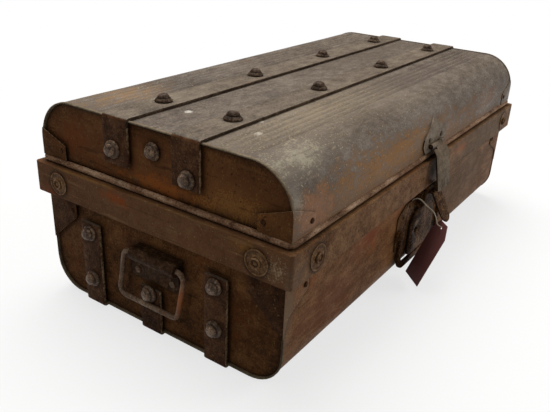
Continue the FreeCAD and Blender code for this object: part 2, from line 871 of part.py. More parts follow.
def make_hasp_leaf():
    """Plain wide leaf that stands clear of bead and collar and leans outwards to its foot."""
    inner = [
        (hasp_axis_y - hasp_inner_radius + hasp_sheet, hasp_axis_z),
        (hasp_bend_y, parting + hasp_bend_height),
        (hasp_inner_y(hasp_foot_drop), parting - hasp_foot_drop),
    ]
    half = hasp_width / 2.0
    left = lock_centre - half
    points = [Vector(left, y, z) for y, z in inner]
    points += [Vector(left, y - hasp_sheet, z) for y, z in reversed(inner)]
    bent = polygon(points).extrude(Vector(hasp_width, 0, 0))
    half_neck = hasp_middle_knuckle / 2.0
    shoulder = hasp_axis_z - hasp_barrel_radius - hasp_neck_gap
    foot = parting - hasp_foot_drop
    y = inner[-1][0] - 2 * hasp_sheet
    outline = [
        (-half, foot), (half, foot), (half, shoulder), (half_neck, shoulder),
        (half_neck, hasp_axis_z), (-half_neck, hasp_axis_z), (-half_neck, shoulder), (-half, shoulder),
    ]
    corners = [Vector(lock_centre + across, y, z) for across, z in outline]
    low = hasp_corner_radius
    mask = rounded_polygon(corners, [low, low, 0, 0, 0, 0, 0, 0])
    leaf = bent.common(mask.extrude(Vector(0, -2 * inner[-1][0] - lid_half, 0)))
    return leaf.fuse(hasp_knuckles()[0]).cut(hasp_bore()).removeSplitter()


def make_hasp_staple(leaf):
    """Bar bent to a U on the leaf's back, whose nose meets the lock box."""
    root = hasp_inner_y(staple_drop) - hasp_sheet / 2.0
    nose = lock_box_front - fit_gap - staple_bar_radius
    z = parting - staple_drop
    corners = [
        Vector(lock_centre + across, y, z)
        for across, y in (
            (-staple_half_spacing, root), (-staple_half_spacing, nose),
            (staple_half_spacing, nose), (staple_half_spacing, root),
        )
    ]
    route = chord_route(corners, [0, staple_turn, staple_turn, 0], 2)
    return mitred_bar(route, staple_bar_radius, rivet_sides).cut(leaf)


# Lock on the base

def lock_face_outline(outline, radii):
    """Face on the front of the lock's back plate, from (across, drop) corners."""
    corners = [Vector(lock_centre + across, lock_face_y, parting - drop) for across, drop in outline]
    return rounded_polygon(corners, radii)


def make_lock_plate():
    """Back plate with clipped upper corners."""
    half = lock_plate_half_width
    outline = [
        (-half, lock_plate_foot), (half, lock_plate_foot), (half, lock_plate_top + lock_plate_clip_drop),
        (half - lock_plate_clip, lock_plate_top), (lock_plate_clip - half, lock_plate_top),
        (-half, lock_plate_top + lock_plate_clip_drop),
    ]
    face = lock_face_outline(outline, [lock_plate_corner, lock_plate_corner, 0, 0, 0, 0])
    return face.extrude(Vector(0, lock_plate_sheet, 0))


def make_lock_box():
    """Housing with chamfered front edges and a raised middle that the hasp's staple meets."""
    top = parting - lock_box_top
    low = parting - lock_box_foot
    edge = lock_box_chamfer
    profile = [
        (lock_face_y, top), (lock_box_front + edge, top), (lock_box_front, top - edge),
        (lock_box_front, low + edge), (lock_box_front + edge, low), (lock_face_y, low),
    ]
    left = lock_centre - lock_box_half_width
    section = polygon([Vector(left, y, z) for y, z in profile])
    housing = section.extrude(Vector(2 * lock_box_half_width, 0, 0))
    crown = block(
        lock_centre - lock_box_crown_half, lock_centre + lock_box_crown_half,
        lock_box_front, lock_face_y, top - edge, top + lock_box_crown
    )
    return housing.fuse(crown).removeSplitter()


def make_lock_lip(box):
    """Finger lip: a strip bent out of the lock box and down, with round lower corners."""
    top = parting - lip_top
    foot = parting - lip_foot_drop
    near = lock_box_front - lip_standoff
    far = near - (lip_foot_drop - lip_top) * lip_lean
    profile = [
        (lock_face_y, top), (near, top), (far, foot),
        (far + lip_sheet, foot), (near + lip_sheet, top - lip_sheet), (lock_face_y, top - lip_sheet),
    ]
    left = lock_centre - lip_half_width
    strip = polygon([Vector(left, y, z) for y, z in profile]).extrude(Vector(2 * lip_half_width, 0, 0))
    half = lip_half_width
    corners = [
        Vector(lock_centre + across, far, z)
        for across, z in ((-half, foot), (half, foot), (half, top), (-half, top))
    ]
    mask = rounded_polygon(corners, [lip_foot_radius, lip_foot_radius, 0, 0])
    return strip.common(mask.extrude(Vector(0, lock_face_y - far, 0))).cut(box)


def make_lock_case():
    """Bell-shaped thin case under the lock box, with a keyhole."""
    top = lock_case_half_top
    waist = lock_case_half_waist
    outline = [
        (-top, lock_box_foot), (top, lock_box_foot), (waist, lock_case_waist_drop),
        (waist, lock_case_foot), (-waist, lock_case_foot), (-waist, lock_case_waist_drop),
    ]
    corner = lock_case_corner
    face = lock_face_outline(outline, [0, 0, corner, corner, corner, corner])
    case = face.extrude(Vector(0, -lock_case_thickness, 0))
    reach = keyhole_length / 2.0
    nose = reach - keyhole_radius
    half_outline = [(nose, -keyhole_radius), (reach, 0), (nose, keyhole_radius)]
    slot = half_outline + [(-across, drop) for across, drop in reversed(half_outline)]
    places = [(keyhole_offset + across, keyhole_drop + drop) for across, drop in slot]
    keyhole = lock_face_outline(places, [0] * len(places))
    return case.cut(keyhole.extrude(Vector(0, -lock_case_thickness, 0)))


def make_lock_loop():
    """Flat bar bent to a U below the case, with a round eye at the top of each leg."""
    half = loop_half_width
    inner = half - loop_bar_width
    low = loop_foot - loop_bar_width
    inner_radius = loop_corner_radius - loop_bar_width
    eye_drop = loop_pivot_drop
    outer_outline = [(-half, loop_foot), (half, loop_foot), (half, eye_drop), (-half, eye_drop)]
    inner_outline = [(-inner, low), (inner, low), (inner, eye_drop), (-inner, eye_drop)]
    outer = lock_face_outline(outer_outline, [loop_corner_radius, loop_corner_radius, 0, 0])
    hollow = lock_face_outline(inner_outline, [inner_radius, inner_radius, 0, 0])
    bar = outer.cut(hollow).extrude(Vector(0, -loop_bar_thickness, 0))
    eye = [(loop_eye_radius, 0), (loop_eye_radius, loop_bar_thickness)]
    eyes = [
        turned(eye, loop_eye_place(side, 0), Vector(0, -1, 0), rosette_sides) for side in (-1.0, 1.0)
    ]
    return bar.multiFuse(eyes).removeSplitter()


def loop_eye_place(side, proud):
    """Centre of an eye of the loop, a distance in front of the back plate."""
    return Vector(lock_centre + side * loop_eye_offset, lock_face_y - proud, parting - loop_pivot_drop)


def make_loop_bosses():
    """Round bosses that pin the loop's eyes to the back plate."""
    outline = [(loop_boss_radius, 0), (loop_boss_radius, loop_boss_edge)]
    outline += dome(loop_boss_radius, loop_boss_edge, loop_boss_height - loop_boss_edge, 2)
    return group([
        turned(outline, loop_eye_place(side, loop_bar_thickness), Vector(0, -1, 0), stud_sides)
        for side in (-1.0, 1.0)
    ])


def make_lock_rivets():
    """Rivets that hold the back plate, beside the box and above the loop's eyes."""
    return group([
        rivet(
            Vector(lock_centre + side * across, lock_face_y, parting - drop), Vector(0, -1, 0),
            lock_rivet_radius, lock_rivet_height
        )
        for side in (-1.0, 1.0) for across, drop in lock_rivet_places
    ])


def make_shield_rivets():
    height = parting + shield_rivet_height
    reach = shield_rivet_spacing / 2.0
    return group([
        rivet(
            Vector(lock_centre + side * reach, -shield_outer, height), Vector(0, -1, 0),
            shield_rivet_radius, shield_rivet_head
        )
        for side in (-1.0, 1.0)
    ])


# Rear hinges

def hinge_bore(centre_x):
    return bore(
        Vector(centre_x - hinge_width, hinge_axis_y, hinge_axis_z), Vector(1, 0, 0),
        hinge_pin_radius, 2 * hinge_width
    )


def hinge_knuckles(centre_x):
    return knuckles(
        centre_x, hinge_width, hinge_middle_knuckle, hinge_axis_y, hinge_axis_z,
        hinge_barrel_radius, hinge_barrel_radius
    )


def make_hinge_base_leaf(centre_x):
    """Leaf on the collar's rear face with the two outer barrels."""
    sides = hinge_knuckles(centre_x)[1]
    back = collar_half_width
    left = centre_x - hinge_width / 2.0
    low = parting - hinge_base_leaf_drop
    leaf_top = hinge_axis_z - hinge_barrel_radius - fit_gap
    leaf = block(left, left + hinge_width, back, back + hinge_leaf_sheet, low, leaf_top)
    side_length = sides[0].BoundBox.XLength
    webs = [
        block(x, x + side_length, back, hinge_axis_y, leaf_top - hinge_leaf_sheet, hinge_axis_z)
        for x in (left, left + hinge_width - side_length)
    ]
    return leaf.multiFuse(sides + webs).cut(hinge_bore(centre_x)).removeSplitter()


def make_hinge_lid_leaf(centre_x):
    """Leaf that rises from the middle barrel, clears the bead and lies on the lid's rear."""
    middle = hinge_knuckles(centre_x)[0]
    clear = lid_half - bead_inset + bead_radius + hinge_bead_gap
    proud = clear + hinge_leaf_sheet
    outer = lid_half + hinge_leaf_sheet
    web_top = hinge_axis_z + hinge_barrel_radius
    web_low = web_top - hinge_leaf_sheet
    seat = min(parting + hinge_lid_leaf_height, lid_top - shoulder_radius)
    points = [
        (hinge_axis_y, web_top), (proud, web_top), (proud, bead_top + hinge_joggle_low),
        (outer, bead_top + hinge_joggle_high), (outer, seat), (lid_half, seat),
        (lid_half, bead_top + hinge_joggle_high - hinge_joggle_step),
        (clear, bead_top + hinge_joggle_low - hinge_joggle_step), (clear, web_low), (hinge_axis_y, web_low),
    ]
    narrow = polygon([Vector(centre_x - hinge_middle_knuckle / 2.0, y, z) for y, z in points])
    strip = narrow.extrude(Vector(hinge_middle_knuckle, 0, 0))
    plate = block(
        centre_x - hinge_width / 2.0, centre_x + hinge_width / 2.0, lid_half, outer,
        bead_top + hinge_joggle_high, seat
    )
    return strip.multiFuse([plate, middle]).cut(hinge_bore(centre_x)).removeSplitter()


def make_hinge_pin(centre_x):
    return rod(
        Vector(centre_x - hinge_width / 2.0, hinge_axis_y, hinge_axis_z), Vector(1, 0, 0),
        hinge_pin_radius, hinge_width
    )


def make_hinge_base_rivets():
    face = collar_half_width + hinge_leaf_sheet
    height = parting - hinge_base_rivet_drop
    return group([
        rivet(Vector(sx * hinge_spacing / 2.0 + dx, face, height), Vector(0, 1, 0), hinge_rivet_radius)
        for sx in (-1.0, 1.0) for dx in (-hinge_base_rivet_reach, hinge_base_rivet_reach)
    ])


def make_hinge_lid_rivets():
    face = lid_half + hinge_leaf_sheet
    height = (bead_top + hinge_joggle_high + lid_top - shoulder_radius) / 2.0
    return group([
        rivet(Vector(sx * hinge_spacing / 2.0 + dx, face, height), Vector(0, 1, 0), hinge_rivet_radius)
        for sx in (-1.0, 1.0) for dx in (-hinge_lid_rivet_reach, hinge_lid_rivet_reach)
    ])


# Swing tag and its string

def tag_axes():
    """Directions across the card, up it and out of its face."""
    heading = math.radians(tag_turn)
    lean = math.radians(tag_lean)
    across = Vector(math.cos(heading), math.sin(heading), 0)
    outward = Vector(math.sin(heading), -math.cos(heading), 0)
    up = Vector(0, 0, math.cos(lean)) - outward * math.sin(lean)
    return across, up, across.cross(up)


def tag_point(across_by, up_by):
    across, up, normal = tag_axes()
    foot = Vector(lock_centre - tag_foot_aside, lock_face_y - tag_foot_proud, parting - tag_foot_drop)
    return foot + across * across_by + up * up_by - normal * (tag_thickness / 2.0)


def make_swing_tag():
    """Card with two clipped corners and a hole, hanging askew from the string."""
    normal = tag_axes()[2]
    half = tag_width / 2.0
    outline = [
        (-half, 0), (half, 0), (half, tag_length - tag_corner_cut), (half - tag_corner_inset, tag_length),
        (tag_corner_inset - half, tag_length), (-half, tag_length - tag_corner_cut),
    ]
    card = polygon([tag_point(*place) for place in outline]).extrude(normal * tag_thickness)
    hole = rod(
        tag_point(0, tag_length - tag_hole_inset) - normal, normal, tag_hole_radius, tag_thickness + 2.0
    )
    return card.cut(hole)


def string_route():
    return [Vector(*place) + Vector(lock_centre, lock_face_y, parting) for place in string_points]


def make_string_knot():
    """Knot behind the card that keeps the string in its hole."""
    outline = [(0.45 * knot_radius, -0.9 * knot_radius), (knot_radius, -0.35 * knot_radius)]
    outline += [(radius, -height) for radius, height in reversed(outline)]
    points = string_route()
    return turned(outline, points[-1], points[-1] - points[-2], rivet_sides)


def make_tag_string(knot):
    """Limp string from the lock plate's upper edge over the lock box and through the card's hole."""
    points = string_route()
    radii = limp_radii(points)
    print("tag string bend radii, mm:", [round(radius, 1) for radius in radii[1:-1]])
    return cord_tube(points, radii, string_radius, cord_sides).cut(knot)


# Assembly

def save(name, shape):
    os.makedirs("parts", exist_ok=True)
    shape.exportStep("parts/" + name + ".step")


def build():
    bead = make_lid_bead()
    base_shell = make_base_shell()
    base_end = make_base_end()
    base_ends = [base_end, mirrored_x(base_end)]
    lid_shell = make_lid_shell(bead)
    lid_end = make_lid_end(bead)
    nodes = {
        "base_shell": base_shell,
        "base_end_left": base_ends[0],
        "base_end_right": base_ends[1],
        "base_collar": make_collar(base_shell, base_ends),
        "collar_rosettes": make_rosettes(),
        "collar_rivets": make_rosette_rivets(),
        "lid_shell": lid_shell,
        "lid_end_left": lid_end,
        "lid_end_right": mirrored_x(lid_end),
        "lid_bead": bead,
        "gusset_rivets": make_gusset_rivets(),
        "patch_rivets": make_patch_rivets(),
        "handle_rivets": make_handle_rivets(),
    }
    corner_pieces = {"base_gusset": make_gusset(), "lid_patch": make_patch()}
    for name, piece in corner_pieces.items():
        nodes[name + "_front_left"] = piece
        nodes[name + "_front_right"] = mirrored_x(piece)
        nodes[name + "_rear_left"] = mirrored_y(piece)
        nodes[name + "_rear_right"] = mirrored_x(mirrored_y(piece))
    for name, side in (("front", -1), ("rear", 1)):
        nodes["lid_strap_" + name] = make_lid_strap(side)
        nodes["strap_studs_" + name] = make_strap_studs(side)
    for name, row in (("front", -1), ("middle", 0), ("rear", 1)):
        nodes["runner_" + name] = make_runner(row)
    end_pieces = {
        "runner_studs": make_runner_studs(),
        "lid_end_studs": make_lid_end_studs(),
        "handle_plate": make_handle_plate(),
        "handle_bail": make_bail(),
    }
    for name, piece in end_pieces.items():
        nodes[name + "_left"] = piece
        nodes[name + "_right"] = mirrored_x(piece)
    nodes["hasp_plate"] = make_hasp_plate()
    nodes["hasp_plate_rivets"] = make_shield_rivets()
    nodes["hasp_pin"] = make_hasp_pin()
    hasp_leaf = make_hasp_leaf()
    lock_box = make_lock_box()
    nodes["hasp_leaf"] = hasp_leaf
    nodes["hasp_staple"] = make_hasp_staple(hasp_leaf)
    nodes["lock_plate"] = make_lock_plate()
    nodes["lock_box"] = lock_box
    nodes["lock_lip"] = make_lock_lip(lock_box)
    nodes["lock_case"] = make_lock_case()
    nodes["lock_loop"] = make_lock_loop()
    nodes["lock_loop_bosses"] = make_loop_bosses()
    nodes["lock_rivets"] = make_lock_rivets()
    for name, side in (("left", -1), ("right", 1)):
        centre_x = side * hinge_spacing / 2.0
        nodes["hinge_base_leaf_" + name] = make_hinge_base_leaf(centre_x)
        nodes["hinge_lid_leaf_" + name] = make_hinge_lid_leaf(centre_x)
        nodes["hinge_pin_" + name] = make_hinge_pin(centre_x)
    nodes["hinge_base_rivets"] = make_hinge_base_rivets()
    nodes["hinge_lid_rivets"] = make_hinge_lid_rivets()
    nodes["swing_tag"] = make_swing_tag()
    knot = make_string_knot()
    nodes["string_knot"] = knot
    nodes["tag_string"] = make_tag_string(knot)
    for name, shape in nodes.items():
        save(name, shape)


build()
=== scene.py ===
import json
import math

import bmesh
import bpy
from mathutils import Matrix, Vector, geometry, noise
from mathutils.bvhtree import BVHTree


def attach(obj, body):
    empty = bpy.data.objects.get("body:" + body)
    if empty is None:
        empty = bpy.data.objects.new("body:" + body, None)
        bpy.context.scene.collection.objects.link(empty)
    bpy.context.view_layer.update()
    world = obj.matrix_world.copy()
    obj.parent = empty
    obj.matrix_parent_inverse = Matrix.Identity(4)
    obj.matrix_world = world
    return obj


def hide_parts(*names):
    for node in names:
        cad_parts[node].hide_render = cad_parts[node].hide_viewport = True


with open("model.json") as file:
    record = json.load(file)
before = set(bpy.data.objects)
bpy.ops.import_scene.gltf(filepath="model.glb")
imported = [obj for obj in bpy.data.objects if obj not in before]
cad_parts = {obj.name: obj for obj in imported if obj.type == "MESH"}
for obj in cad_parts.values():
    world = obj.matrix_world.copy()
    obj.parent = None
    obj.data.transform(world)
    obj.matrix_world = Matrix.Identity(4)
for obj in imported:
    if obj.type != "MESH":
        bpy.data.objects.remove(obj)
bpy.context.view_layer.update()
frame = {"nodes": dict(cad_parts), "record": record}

# An old pressed-steel travelling trunk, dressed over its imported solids. Metres, +Z up, the lock faces -Y.

parting = 0.2135      # height where lid and base meet
solids = frame["nodes"]
bodyOf = {node: body for body, names in frame["record"]["behaviour"]["bodies"].items() for node in names}


def tone(screen):
    # screen colour (0 to 255) to the linear colour a shader wants
    steps = [value / 255.0 for value in screen]
    return tuple(v / 12.92 if v <= 0.04045 else ((v + 0.055) / 1.055) ** 2.4 for v in steps) + (1.0,)


def linked(name, data):
    piece = bpy.data.objects.new(name, data)
    bpy.context.scene.collection.objects.link(piece)
    return piece


def nodesNamed(starts):
    return [node for node in solids if node.startswith(tuple(starts))]


# Camera, light and floor

view = {
    "target": (-0.12305, 0.0, parting - 0.11472), "distance": 1.10894,
    "azimuth": -56.34, "elevation": 25.03, "roll": 2.87, "lens": 41.63,
}


def addCamera():
    azimuth, elevation, roll = (math.radians(view[key]) for key in ("azimuth", "elevation", "roll"))
    back = Vector((
        math.sin(azimuth) * math.cos(elevation), -math.cos(azimuth) * math.cos(elevation),
        math.sin(elevation),
    ))
    right = (-back).cross(Vector((0, 0, 1))).normalized()
    up = right.cross(-back)
    rightRolled = right * math.cos(roll) + up * math.sin(roll)
    upRolled = up * math.cos(roll) - right * math.sin(roll)
    data = bpy.data.cameras.new("camera")
    data.lens = view["lens"]
    data.sensor_width = 36.0
    data.sensor_fit = "HORIZONTAL"
    data.clip_start, data.clip_end = 0.05, 60.0
    camera = linked("camera", data)
    turn = Matrix((rightRolled, upRolled, back)).transposed().to_4x4()
    turn.translation = Vector(view["target"]) + back * view["distance"]
    camera.matrix_world = turn
    bpy.context.scene.camera = camera


lamps = {
    "overhead": {"place": (0.5, 0.9, 3.0), "size": 2.4, "power": 105.0, "colour": (1.0, 0.99, 0.975)},
    "side": {"place": (2.4, -2.6, 1.9), "size": 1.8, "power": 50.0, "colour": (1.0, 0.99, 0.97)},
    "fill": {"place": (-2.5, 0.3, 2.3), "size": 1.0, "power": 9.0, "colour": (1.0, 0.97, 0.92)},
}
studio = {
    "lit": (0, 0, 0.16), "world": 0.17, "floorSize": 30.0, "floor": 0.92, "bounce": 0.3, "shine": 0.72,
    "fadeStart": 0.5, "fadeEnd": 1.3,
}
white = (1, 1, 1, 1)


def addLamps():
    for name, lamp in lamps.items():
        data = bpy.data.lights.new(name, "AREA")
        data.size, data.energy, data.color = lamp["size"], lamp["power"], lamp["colour"]
        toward = Vector(studio["lit"]) - Vector(lamp["place"])
        turn = toward.to_track_quat("-Z", "Y").to_matrix().to_4x4()
        linked(name, data).matrix_world = Matrix.Translation(lamp["place"]) @ turn


class Net:
    # short calls for one node tree
    def __init__(self, tree):
        self.tree = tree

    def feed(self, node, feeds):
        # sockets are linked, plain values are set
        for key, value in feeds.items():
            if isinstance(value, bpy.types.NodeSocket):
                self.tree.links.new(value, node.inputs[key])
            else:
                node.inputs[key].default_value = value

    def put(self, kind, feeds=None, **settings):
        node = self.tree.nodes.new(kind)
        for key, value in settings.items():
            setattr(node, key, value)
        self.feed(node, feeds or {})
        return node

    def first(self, kind, feeds=None, **settings):
        return self.put(kind, feeds, **settings).outputs[0]

    def math(self, operation, *values):
        return self.first("ShaderNodeMath", dict(enumerate(values)), operation=operation)

    def add(self, value, other):
        return self.math("ADD", value, other)

    def take(self, value, other):
        return self.math("SUBTRACT", value, other)

    def times(self, value, *others):
        for other in others:
            value = self.math("MULTIPLY", value, other)
        return value

    def timesPlus(self, value, factor, other):
        return self.math("MULTIPLY_ADD", value, factor, other)

    def absolute(self, value):
        return self.math("ABSOLUTE", value)

    def vector(self, operation, *values):
        node = self.put("ShaderNodeVectorMath", dict(enumerate(values)), operation=operation)
        return node.outputs["Value" if operation == "LENGTH" else "Vector"]

    def split(self, vector):
        return self.put("ShaderNodeSeparateXYZ", {0: vector}).outputs

    def join(self, x=0.0, y=0.0, z=0.0):
        return self.first("ShaderNodeCombineXYZ", {0: x, 1: y, 2: z})

    def remap(self, value, low, high, toLow=0.0, toHigh=1.0):
        feeds = {"Value": value, "From Min": low, "From Max": high, "To Min": toLow, "To Max": toHigh}
        return self.first("ShaderNodeMapRange", feeds, interpolation_type="SMOOTHSTEP")

    def blend(self, share, first, second):
        node = self.put("ShaderNodeMix", {0: share, 6: first, 7: second}, data_type="RGBA")
        return node.outputs[2]

    def cloud(self, place, scale, detail, roughness, stretch=(1, 1, 1), shift=0.0):
        # noise over object coordinates; stretch is how many times finer it is along each axis
        feeds = {"Vector": place, "Scale": stretch, "Location": (shift, shift * 0.7, -shift)}
        mapped = self.first("ShaderNodeMapping", feeds)
        feeds = {"Vector": mapped, "Scale": scale, "Detail": detail, "Roughness": roughness}
        return self.put("ShaderNodeTexNoise", feeds).outputs["Fac"]

    def bump(self, height, strength, distance):
        feeds = {"Strength": strength, "Distance": distance, "Height": height}
        return self.put("ShaderNodeBump", feeds).outputs["Normal"]

    def grid(self, columns, rows):
        # unit grid, with the X and Y of its points
        feeds = {"Size X": 1.0, "Size Y": 1.0, "Vertices X": columns, "Vertices Y": rows}
        spot = self.split(self.first("GeometryNodeInputPosition"))
        return self.first("GeometryNodeMeshGrid", feeds), spot[0], spot[1]


def newMaterial(name):
    material = bpy.data.materials.new(name)
    material.use_nodes = True
    net = Net(material.node_tree)
    place = net.put("ShaderNodeTexCoord").outputs["Object"]
    return material, net, net.tree.nodes["Principled BSDF"], place


def addFloor():
    bpy.ops.mesh.primitive_plane_add(size=studio["floorSize"])
    floor = bpy.context.object
    floor.name = "floor"
    material, net, shader, place = newMaterial("paleFloor")
    away = net.vector("LENGTH", place)
    fade = net.remap(away, studio["fadeStart"], studio["fadeEnd"], studio["shine"], 1.0)
    path = net.put("ShaderNodeLightPath").outputs
    seen = net.math("MAXIMUM", path["Is Camera Ray"], path["Is Glossy Ray"])
    grey = net.blend(seen, *((studio[key],) * 3 + (1.0,) for key in ("bounce", "floor")))
    net.feed(shader, {"Base Color": grey, "Roughness": 0.9, "Specular IOR Level": 0.1})
    glow = net.first("ShaderNodeEmission", {"Color": white, "Strength": 1.0})
    mixed = net.first("ShaderNodeMixShader", {0: net.times(fade, seen), 1: shader.outputs[0], 2: glow})
    net.feed(net.tree.nodes["Material Output"], {"Surface": mixed})
    floor.data.materials.append(material)


def setWorld():
    world = bpy.data.worlds.new("studio")
    bpy.context.scene.world = world
    world.use_nodes = True
    net = Net(world.node_tree)
    path = net.put("ShaderNodeLightPath").outputs
    seen = net.math("MAXIMUM", path["Is Camera Ray"], path["Is Transmission Ray"])
    strength = net.remap(seen, 0.0, 1.0, studio["world"], 1.0)
    net.feed(world.node_tree.nodes["Background"], {"Color": white, "Strength": strength})


bpy.context.scene.view_settings.view_transform = "Standard"
addCamera()
addLamps()
addFloor()
setWorld()
print("studio ready")


# Paint, rust and bare steel

# what a finish is until its own table says otherwise; every colour is a screen colour
steel = {
    "shift": 0.0, "patchScale": 9.0, "mottleScale": 60.0, "gritScale": 420.0, "rustScale": 16.0,
    "scratchScale": 150.0, "speckScale": 330.0, "pitScale": 190.0, "scratchGrain": (0.05, 1, 1),
    "grit": 0.45, "rustSoft": 0.12, "lightScratch": 0.3, "darkScratch": 0.3, "specks": 0.5, "pits": 0.35,
    # the dark colour of dirt and painted shade in crevices and against standing parts
    "soilAndShade": (26, 17, 11), "gloss": (0.42, 0.6), "specular": 0.05, "bump": 0.6, "relief": 0.0012, "zones": (),
}
# detail, roughness and shift of each layer of noise
layers = {
    "patch": (5.0, 0.62, 0.0), "mottle": (5.0, 0.7, 3.0), "grit": (3.0, 0.6, 7.0), "rust": (6.0, 0.7, 11.0),
    "scratch": (3.0, 0.55, 0.0), "speck": (2.0, 0.5, 17.0), "pit": (3.0, 0.6, 23.0),
}
# the stretch of noise over which lines, specks and pits come in, and dirt with painted shade and gloss change
bands = {
    "scratch": (0.60, 0.68), "speck": (0.66, 0.72), "pit": (0.40, 0.32), "soilAndShade": (0.25, 0.6, 0.55, 1.0),
    "gloss": (0.3, 0.7),
}
toneStops = {"dark": 0.36, "middle": 0.5, "light": 0.66}
toneShares = {"mottle": 0.55, "patch": 0.45}
heightShares = {"mottle": 1.0, "grit": 0.22, "pit": 0.5}


def agedSteel(name, own):
    # layered old paint: dark to light patches, rust, marks, scratches, specks, pits, and dirt with painted
    # shade in the crevices, against standing parts and in grooves
    look = dict(steel, **own)
    dark, middle, light = (tone(screen) for screen in look["tones"])
    material, net, shader, place = newMaterial(name)

    def layer(kind, more=0.0):
        detail, roughness, shift = layers[kind]
        stretch = look.get(kind + "Grain", (1, 1, 1))
        return net.cloud(
            place, look[kind + "Scale"], detail, roughness, stretch, look["shift"] + shift + more,
        )

    patches, mottle, grit = layer("patch"), layer("mottle"), layer("grit")
    uneven, gritty = net.take(mottle, 0.5), net.take(grit, 0.5)
    share = net.timesPlus(mottle, toneShares["mottle"], net.times(patches, toneShares["patch"]))
    share = net.timesPlus(gritty, look["grit"], share)
    ramp = net.put("ShaderNodeValToRGB", {"Fac": share})
    stops = ramp.color_ramp.elements
    stops[0].position, stops[0].color = toneStops["dark"], dark
    stops[1].position, stops[1].color = toneStops["light"], light
    stops.new(toneStops["middle"]).color = middle
    rustColour, rustEdge, rustShare = look["rust"]
    rusted = net.remap(layer("rust"), rustEdge, rustEdge + look["rustSoft"], 0.0, rustShare)
    colour = net.blend(rusted, ramp.outputs["Color"], tone(rustColour))
    for centre, size, zoneColour, most, ragged, core, zoneGrit in look["zones"]:
        reach = net.vector("SUBTRACT", place, centre)
        reach = net.vector("LENGTH", net.vector("DIVIDE", reach, size))
        reach = net.add(reach, net.times(uneven, ragged))
        if zoneGrit:
            reach = net.timesPlus(gritty, zoneGrit, reach)
        colour = net.blend(net.remap(reach, 1.0, core, 0.0, most), colour, tone(zoneColour))
    for kind, lineColour, more in (("lightScratch", light, 0.0), ("darkScratch", dark, 31.0)):
        lines = net.remap(layer("scratch", more), *bands["scratch"], 0.0, look[kind])
        colour = net.blend(lines, colour, lineColour)
    specks = net.remap(layer("speck"), *bands["speck"], 0.0, look["specks"])
    colour = net.blend(specks, colour, tone(look.get("speckColour", look["tones"][2])))
    pits = net.remap(layer("pit"), *bands["pit"], 0.0, look["pits"])
    colour = net.blend(pits, colour, dark)
    # a point attribute of dirt and painted shade, darkest in crevices and against the parts standing on the
    # surface, pulls the colour towards its dark colour
    soilAndShade = net.put("ShaderNodeAttribute", attribute_name="soilAndShade").outputs["Fac"]
    soilAndShade = net.times(soilAndShade, net.remap(mottle, *bands["soilAndShade"]))
    height = net.timesPlus(mottle, heightShares["mottle"], net.times(grit, heightShares["grit"]))
    height = net.take(height, net.times(pits, heightShares["pit"]))
    low, high = look["gloss"]
    net.feed(shader, {
        "Base Color": net.blend(soilAndShade, colour, tone(look["soilAndShade"])),
        "Roughness": net.remap(share, *bands["gloss"], high, low), "Specular IOR Level": look["specular"],
        "Normal": net.bump(height, look["bump"], look["relief"]),
    })
    return material


